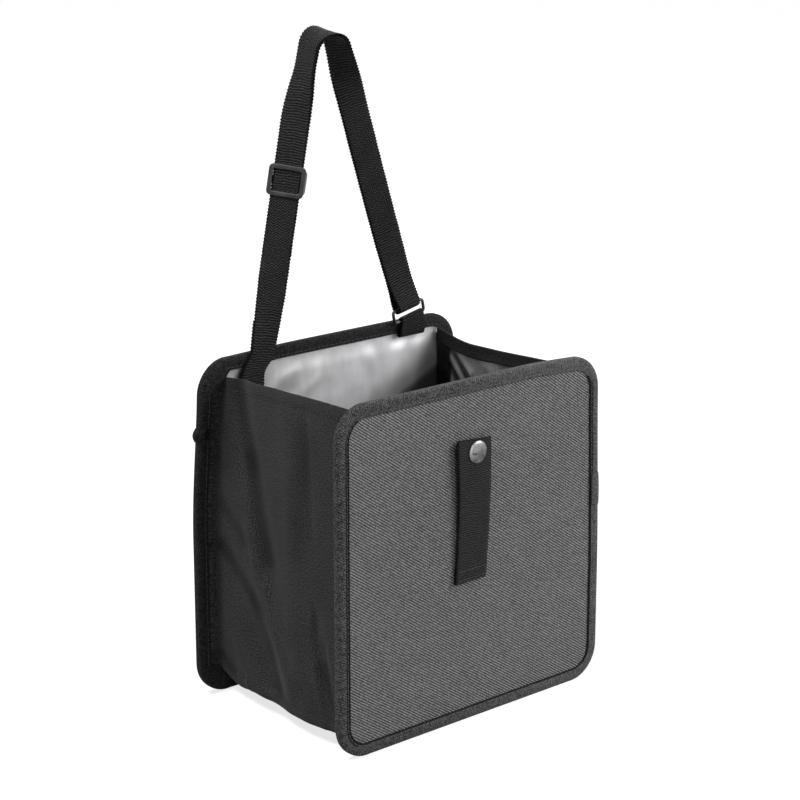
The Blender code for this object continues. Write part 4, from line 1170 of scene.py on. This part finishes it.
def top_bend():
    centre, lean_left, lean_right, _, _ = arch()
    stations = []
    for k in range(1, ARCH_STEPS):
        t = k / ARCH_STEPS
        out_x, out_z = circle(math.degrees(mix(math.pi - lean_left, lean_right, t)))
        x, z = centre.x + ARCH_RADIUS * out_x, HEIGHT + centre.y + ARCH_RADIUS * out_z
        along = Vector((out_z, 0, -out_x))
        turn = mix(LEFT_TOP_TURN, RIGHT_TOP_TURN, t)
        way = square_to(turn_direction(turn, CREST_TIP * hump(t)), along)
        stations.append(on_course(Vector((x, STRAP_Y - ARCH_FORWARD, z)), way, along))
    return stations


def right_leg():
    """Stations from the top bend to the ring, on a curve through a and b; and the ring's axes."""
    end, pose = arch()[4], ring_pose()
    start = Vector((end.x, STRAP_Y - ARCH_FORWARD, HEIGHT + end.y))
    foot = pose @ Vector((STRAP_SHIFT, 0, RING_HEIGHT + FOLD_DROP))
    down, bar = -(pose.to_3x3() @ UP), pose.to_3x3() @ SIDEWAYS
    span = (foot - start).length
    a = start + Vector((RIGHT_LEAN, 0, -1)).normalized() * span / 3
    b = foot - down * span / 30
    stations = []
    for k in range(LEG_STEPS + 1):
        t = k / LEG_STEPS
        s = 1 - t
        centre = start * s**3 + a * 3 * t * s**2 + b * 3 * t * t * s + foot * t**3
        centre.x -= RIGHT_LEG_BOW * hump(t)
        along = ((a - start) * s**2 + (b - a) * 2 * t * s + (foot - b) * t * t).normalized()
        turn = mix(RIGHT_TOP_TURN, RIGHT_LEG_TURN, ease(t / 0.22))
        turn -= RIGHT_LEG_TURN * ease((t - 0.5) / 0.5)
        way = square_to(turn_direction(turn), along)
        way = way.lerp(bar, ease((t - 0.8) / 0.2)).normalized()
        stations.append(on_course(centre, way, along))
    return stations, foot, down, bar


def strap(look):
    """Webbing in one length: folded foot, front ply, fold round the ring, back ply."""
    left, bend = left_leg(), top_bend()
    right, foot, down, bar = right_leg()
    course = left + bend + right
    total = lengths([station.centre for station in course])
    fold_top = HEIGHT + ANCHOR_FOLD_RISE
    tail_end = HEIGHT + SPAN_LOW - TAIL_BELOW_SLIDER
    spread = RING_WIRE / 2 + FOLD_ROOM + FOLD_EASE + STRAP / 2

    def opened(index, seed):
        """Half distance of the plies: they part above the ring and breathe a little elsewhere."""
        near_end = (total[-1] - total[index]) / PLIES_PART
        rise = course[index].centre.z - HEIGHT
        in_slider = SPAN_LOW - 0.002 < rise < SPAN_HIGH + 0.002 and index < len(left)
        loose = 0.0 if in_slider else ease((rise - 0.012) / 0.02)
        ripple = 0.00022 * loose * (1 + rough(total[index] * 45, 0.0, seed))
        return mix(spread, PLY_OFFSET + ripple, ease(near_end))

    path = [station.shifted(-PLY_OFFSET) for station in left[::-1] if station.centre.z <= fold_top]
    for station in path:
        station.normal = -station.normal
    low = left[0]
    for ahead, below in half_turn(20):
        out = low.normal * ahead + UP * below
        normal = -out if ahead > 0 else out
        path.append(Station(low.centre - out * PLY_OFFSET, low.across, normal))
    path += [station.shifted(opened(i, 21.0)) for i, station in enumerate(course)]
    normal = bar.cross(down).normalized()
    for ahead, below in half_turn(10):
        out = normal * ahead + down * below
        path.append(Station(foot + out * spread, bar, out))
    for index in range(len(course) - 1, -1, -1):
        if index < len(left) and course[index].centre.z < tail_end:
            break
        station = course[index].shifted(-opened(index, 22.0))
        path.append(Station(station.centre, station.across, -station.normal))
    return band("strap_webbing", path, look, 0.0021, 31.0, "strap")


# Ring's tab at the ring and lower down: width past its own, place to the left; where it ends
TAB_WIDER, TAB_SHIFT, TAB_WIDENS_BY = (-0.0006, 0.0018), (0.0013, 0.0008), 0.6


def ring_tab(look):
    """Loop of webbing over the ring's lower bar, sewn to the panel, narrower at the ring."""
    pose = ring_pose()
    bar, up = pose.to_3x3() @ SIDEWAYS, pose.to_3x3() @ UP
    centre = pose @ Vector((-RING_SHIFT, 0, 0))
    loop = RING_WIRE / 2 + GAP + STRAP / 2
    bottom = HEIGHT - TAB_DROP

    def placed(middle, across, normal, t):
        """Station at share t of the way down, where the tab is wider and less to the left."""
        width = TAB_WIDTH + mix(*TAB_WIDER, ease(t / TAB_WIDENS_BY))
        shift = mix(*TAB_SHIFT, ease(t / TAB_WIDENS_BY))
        return Station(middle - SIDEWAYS * shift, across, normal, width)

    def leg(side):
        found = []
        for k in range(33):
            t = k / 32
            y = mix(centre.y + side * loop, STRAP_Y + side * PLY_OFFSET, ease(t / TAB_CLOSES_BY))
            if side < 0:
                y = mix(y, centre.y - loop, 0.75 * (1 - t**6))
            middle = Vector((mix(centre.x, TAB_X, t), y, mix(centre.z, bottom, t)))
            found.append(placed(middle, bar.lerp(SIDEWAYS, ease(t)), Vector((0, side, 0)), t))
        return found

    path = leg(-1)[::-1]
    for back, above in half_turn(15):
        out = up * above - Vector((0, back, 0))
        path.append(placed(centre + out * loop, bar, out, 0.0))
    return band("ring_tab_webbing", path + leg(1), look, 0.0015, 41.0, "ring_tab", 0.0004)


CLOTH_Y = panel_y(FRONT, FACE_DEPTH)
UNDER_PLY = GAP + STRAP / 2
UPPER_PLY = UNDER_PLY + STRAP + GAP
SNAP_PLY = GAP + STUD_FLANGE + GAP + SOCKET_HEIGHT + GAP + STRAP / 2
# Share of the part's bow that is left here, and how far the tab hangs out of true
BOW_SHARE, TAB_SWAY = 0.4, 0.0015
# Rows of sewing over the tab's turned end: heights above its bottom, inset from its sides
TAB_SEWING, TAB_SEWING_INSET = (0.0022, 0.0078), 0.0022


def tab_out(z):
    share = min((z - SNAP_TAB_BOTTOM) / (SNAP_Z - CAP_RADIUS - SNAP_TAB_BOTTOM), 1.0)
    bow = BOW_SHARE * SNAP_TAB_BOW * math.sin(math.pi * share) ** 2
    return mix(UPPER_PLY, SNAP_PLY, ease(share) ** 3) + bow


def tab_station(z, out, normal):
    along = (z - SNAP_TAB_BOTTOM) / (SNAP_TAB_TOP - SNAP_TAB_BOTTOM)
    share = along**2
    x = SNAP_TAB_X + TAB_SWAY * hump(along) ** 1.5
    across = Vector((1, 0, -0.07 * ease((share - 0.5) / 0.5)))
    width = mix(SNAP_TAB_END_WIDTH, SNAP_TAB_WIDTH, share)
    return Station(Vector((x, CLOTH_Y - out, z)), across, normal, width)


def snap_tab(look):
    outward = Vector((0, -1, 0))
    fold = (UPPER_PLY - UNDER_PLY) / 2
    low = SNAP_TAB_BOTTOM + fold
    turned = [low + SNAP_TAB_TURN_UNDER * (1 - k / 6) for k in range(7)]
    path = [tab_station(z, UNDER_PLY, -outward) for z in turned]
    for back, below in half_turn(15):
        normal = Vector((0, back, -below))
        path.append(tab_station(low - fold * below, UNDER_PLY + fold * (1 - back), normal))
    for k in range(81):
        z = mix(low, SNAP_TAB_TOP, k / 80)
        path.append(tab_station(z, tab_out(z), outward))
    return band("snap_tab_webbing", path, look, 0.0014, 51.0, "snap_tab")


def tab_stitches():
    """Sewing of the front tab's turned end, two rows and the sides between them."""
    half = SNAP_TAB_END_WIDTH / 2 - TAB_SEWING_INSET
    lines = [[(half * s / 10, rise) for s in range(-10, 11)] for rise in TAB_SEWING]
    lines += [[(s * half, mix(*TAB_SEWING, k / 8)) for k in range(9)] for s in (-1, 1)]
    runs = []
    for line in lines:
        run = []
        for x, rise in line:
            z = SNAP_TAB_BOTTOM + rise
            y = CLOTH_Y - tab_out(z) - STRAP / 2 - THREAD_LIFT
            run.append((Vector((SNAP_TAB_X + x, y, z)), Vector((0, -1, 0))))
        runs.append(run)
    return runs


def slider(look):
    """Tri-glide in rounded mouldings: frame in front, rails through, bar behind."""
    slot_width = STRAP_WIDTH + 2 * SLIDER_ROOM
    width = slot_width + 2 * SLIDER_RAIL
    room = PLY_OFFSET + STRAP / 2 + GAP
    outer = rounded(width / 2, SLIDER_HEIGHT / 2, SLIDER_CORNER, 10)
    inner = rounded(slot_width / 2 - 0.0006, SLIDER_HEIGHT / 2 - SLIDER_BAR, 0.0014, 10)
    parts = [moulding(outer, inner, -room - SLIDER_PLATE * 1.05, -room)]
    depth = 2 * room + 1.5 * SLIDER_PLATE
    for edge in (LEFT, RIGHT):
        size = Vector((SLIDER_RAIL, depth, SLIDER_HEIGHT - 2 * SLIDER_CORNER))
        parts.append(rod(size, Vector((edge * (width - SLIDER_RAIL) / 2, SLIDER_PLATE / 4, 0))))
    verts, faces, uvs = rod(Vector((CENTRE_BAR, SLIDER_PLATE, width)), Vector((0, 0, 0)))
    flat = [Vector((p.z, p.y + room + SLIDER_PLATE / 2, p.x)) for p in verts]
    parts.append((flat, [face[::-1] for face in faces], uvs))
    way = square_to(turn_direction(SLIDER_TURN), LEFT_ALONG)
    turn = Matrix((way, LEFT_ALONG.cross(way).normalized(), LEFT_ALONG)).transposed().to_4x4()
    pose = Matrix.Translation(left_line(SLIDER_RISE)) @ turn
    verts, faces, uvs = [], [], []
    for part_verts, part_faces, part_uvs in parts:
        faces += [tuple(len(verts) + index for index in face) for face in part_faces]
        verts += [pose @ point for point in part_verts]
        uvs += part_uvs
    return piece("slider_moulding", verts, faces, uvs, look, "strap_slider", "plastic", "slider")


# The ring is this much shorter on its right than the solid; its wire's steps, sides and girth
RING_SHORTER, WIRE_STEP, WIRE_SIDES, WIRE_GIRTH = 0.0014, 0.0008, 14, 0.007


def wire_ring(look):
    """Bent wire, its butt joint showing as a faint neck on the lower bar."""
    pose = ring_pose()
    line = rounded((RING_WIDTH - RING_SHORTER) / 2, RING_HEIGHT / 2, RING_CORNER, 8)
    fine = []
    for a, b in zip(line, line[1:] + line[:1]):
        count = max(1, round((b - a).length / WIRE_STEP))
        fine += [a.lerp(b, k / count) for k in range(count)]
    verts, uvs = [], []
    for i, point in enumerate(fine):
        ahead = (fine[(i + 1) % len(fine)] - fine[i - 1]).normalized()
        neck = 1 - 0.10 * bell(point.x - 0.006, 0.0004) * (point.y < 0)
        for k in range(WIRE_SIDES):
            reach, y = circle(360 * k / WIRE_SIDES, RING_WIRE / 2 * neck)
            x, z = point.x + ahead.y * reach, point.y - ahead.x * reach
            verts.append(pose @ Vector((x - RING_SHORTER / 2, y, z + RING_HEIGHT / 2)))
            uvs.append((k / WIRE_SIDES * WIRE_GIRTH, i * WIRE_STEP))
    faces = tube(len(fine), WIRE_SIDES, closed=True)
    return piece("wire_ring", verts, faces, uvs, look, "strap_ring", "black_wire", "ring")


CAP_SIDES, SHANK = 72, 0.0013


def snap_cap(look):
    """Pressed cap: shallow dome with a flat rolled rim, its shank through the tab."""
    base = SNAP_PLY + STRAP / 2 + GAP * 0.4
    top = base + CAP_HEIGHT
    # Points (radius, outward) of the section that is turned about the snap's axis
    profile = [(0.00001, top)]
    profile += [(0.0061 * k / 12, top - 0.00075 * (k / 12) ** 2.4) for k in range(1, 13)]
    profile += [
        (0.0064, top - 0.00098), (0.0067, top - 0.00112), (0.0070, top - 0.00122),
        (0.0072, top - 0.00142), (0.00715, top - 0.00165), (0.0069, base + 0.00006),
        (0.0060, base), (SHANK, base), (SHANK, base - STRAP - GAP), (0.00001, base - STRAP - GAP),
    ]
    verts, uvs = [], []
    for radius, out in profile:
        for k in range(CAP_SIDES):
            x, z = circle(360 * k / CAP_SIDES, radius)
            verts.append(Vector((SNAP_X + x, CLOTH_Y - out, SNAP_Z + z)))
            uvs.append((x, z))
    faces = [(a, d, c, b) for a, b, c, d in tube(len(profile), CAP_SIDES)]
    return piece("snap_cap_dome", verts, faces, uvs, look, "snap_cap", "nickel")


# Stage


def floor():
    """Pale floor that shows white to the camera and in reflections, and keeps the shadow."""
    mesh = bpy.data.meshes.new("floor")
    r = 12.0
    mesh.from_pydata([(-r, -r, 0), (r, -r, 0), (r, r, 0), (-r, r, 0)], [], [(0, 1, 2, 3)])
    obj = linked("floor", mesh)
    look = Look("pale_floor", Specular_IOR_Level=0.0, Roughness=1.0)
    vector = look.node("TexCoord", out="Object")
    look.colour(look.noise(vector, 3.0, 3.0), (0.2, 0.42), (0.8, 0.46))
    reach = look.node("VectorMath", {0: vector}, "Value", operation="LENGTH")
    white = reach.within(0.25, 1.6, 0.76, 0.96)
    look.shader.inputs["Emission Color"].default_value = (1, 1, 1, 1)
    look.put(look.shader.inputs["Emission Strength"], look.seen() * white)
    mesh.materials.append(look.material)


def backdrop():
    """World that shows white and lights the object only a little."""
    world = bpy.data.worlds.new("studio")
    world.use_nodes = True
    bpy.context.scene.world = world
    nodes = Nodes(world.node_tree)
    shader = nodes.tree.nodes["Background"]
    shader.inputs["Color"].default_value = (1, 1, 1, 1)
    nodes.put(shader.inputs["Strength"], nodes.seen().within(0.0, 1.0, WORLD_LIGHT, 1.0))


def dress():
    """All the pieces over the frame."""
    make_camera()
    lamp("key", 45, 29, 1.7, 1.1, 25)
    lamp("front", -12, 8, 2.0, 0.8, 8)
    lamp("fill", -98, 58, 1.7, 0.5, 25)
    lamp("rear", 150, 35, 2.0, 1.2, 7)
    backdrop()
    floor()
    bpy.context.scene.view_settings.view_transform = "Standard"

    twill = twill_look()
    tapes = {
        FRONT: tape_look("front_tape", 0.028, 0.165, 0.0025),
        BACK: tape_look("back_tape", 0.008, 0.050, 0.0012),
    }
    silver = film_look("silver_film", 0.41, 0.81, 0.38, 0.35)
    side_film = film_look("side_film", 0.10, 0.33, 0.16, 0.85, 0.0560)
    webbing = webbing_look("strap_weave", 0.0017, 0.0032, STRAP_WIDTH / 2, 0.001, 0.077)
    ribbed = webbing_look("tab_weave", 0.0015, 0.0, 0.0138, 0.003, 0.060)
    loop = webbing_look("loop_weave", 0.0016, 0.0, 0.0108, 0.001, 0.058)
    dark_thread = thread_look("dark_thread", 0.012, 0.070)
    grey_thread = thread_look("grey_thread", 0.040, 0.150)
    hem_thread = thread_look("hem_thread", 0.003, 0.018)
    nickel = nickel_look()

    for name, side in (("front", FRONT), ("back", BACK)):
        twill_facts = (twill, cloth_lift, f"{name}_face_cloth", "twill", side)
        panel_sheet(f"{name}_twill", side, FACE_DEPTH, CLOTH, *twill_facts)
        film_facts = (silver, film_lift, f"{name}_lining", "film", -side)
        panel_sheet(f"{name}_film", side, LINING_DEPTH, FILM, *film_facts)
        rows = tape_rows(side, 61.0 + side)
        facts = {"closed": True, "node": f"{name}_binding", "slot": "tape"}
        grid(f"{name}_tape", rows, tapes[side], TAPE, **facts)
        low, high, wall, bulge = TAPE_ENDS[side]
        ends = [i for i, (at, _, _) in enumerate(EDGE) if wall * at.x > 0.109 and low < at.y < high]
        rows = tape_rows(side, 61.0 + side, 0.00060, ends, bulge)
        grid(f"{name}_tape_end", rows, tapes[side], TAPE, slot="tape")
        thread = grey_thread if side == FRONT else dark_thread
        runs = [stitch_run(side, face) for face in (-1, 1)]
        stitches(f"{name}_tape_stitches", runs, thread, "tape")
    gusset(gusset_look())
    gusset_lining(side_film)
    stitches("hem_stitches", [hem_run(LEFT), hem_run(RIGHT)], hem_thread, "gusset")
    strap(webbing)
    ring_tab(loop)
    snap_tab(ribbed)
    stitches("tab_stitches", tab_stitches(), dark_thread, "webbing", 0.0024, 0.0005, 0.00020)
    slider(plastic_look())
    wire_ring(wire_look())
    snap_cap(nickel)
    for names, look in (
        (("front_board", "back_board", "base_board"), board_look()),
        (("snap_socket", "snap_stud", "snap_post"), nickel),
    ):
        for name in names:
            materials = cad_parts[name].data.materials
            for index in range(len(materials)):
                materials[index] = look


dress()
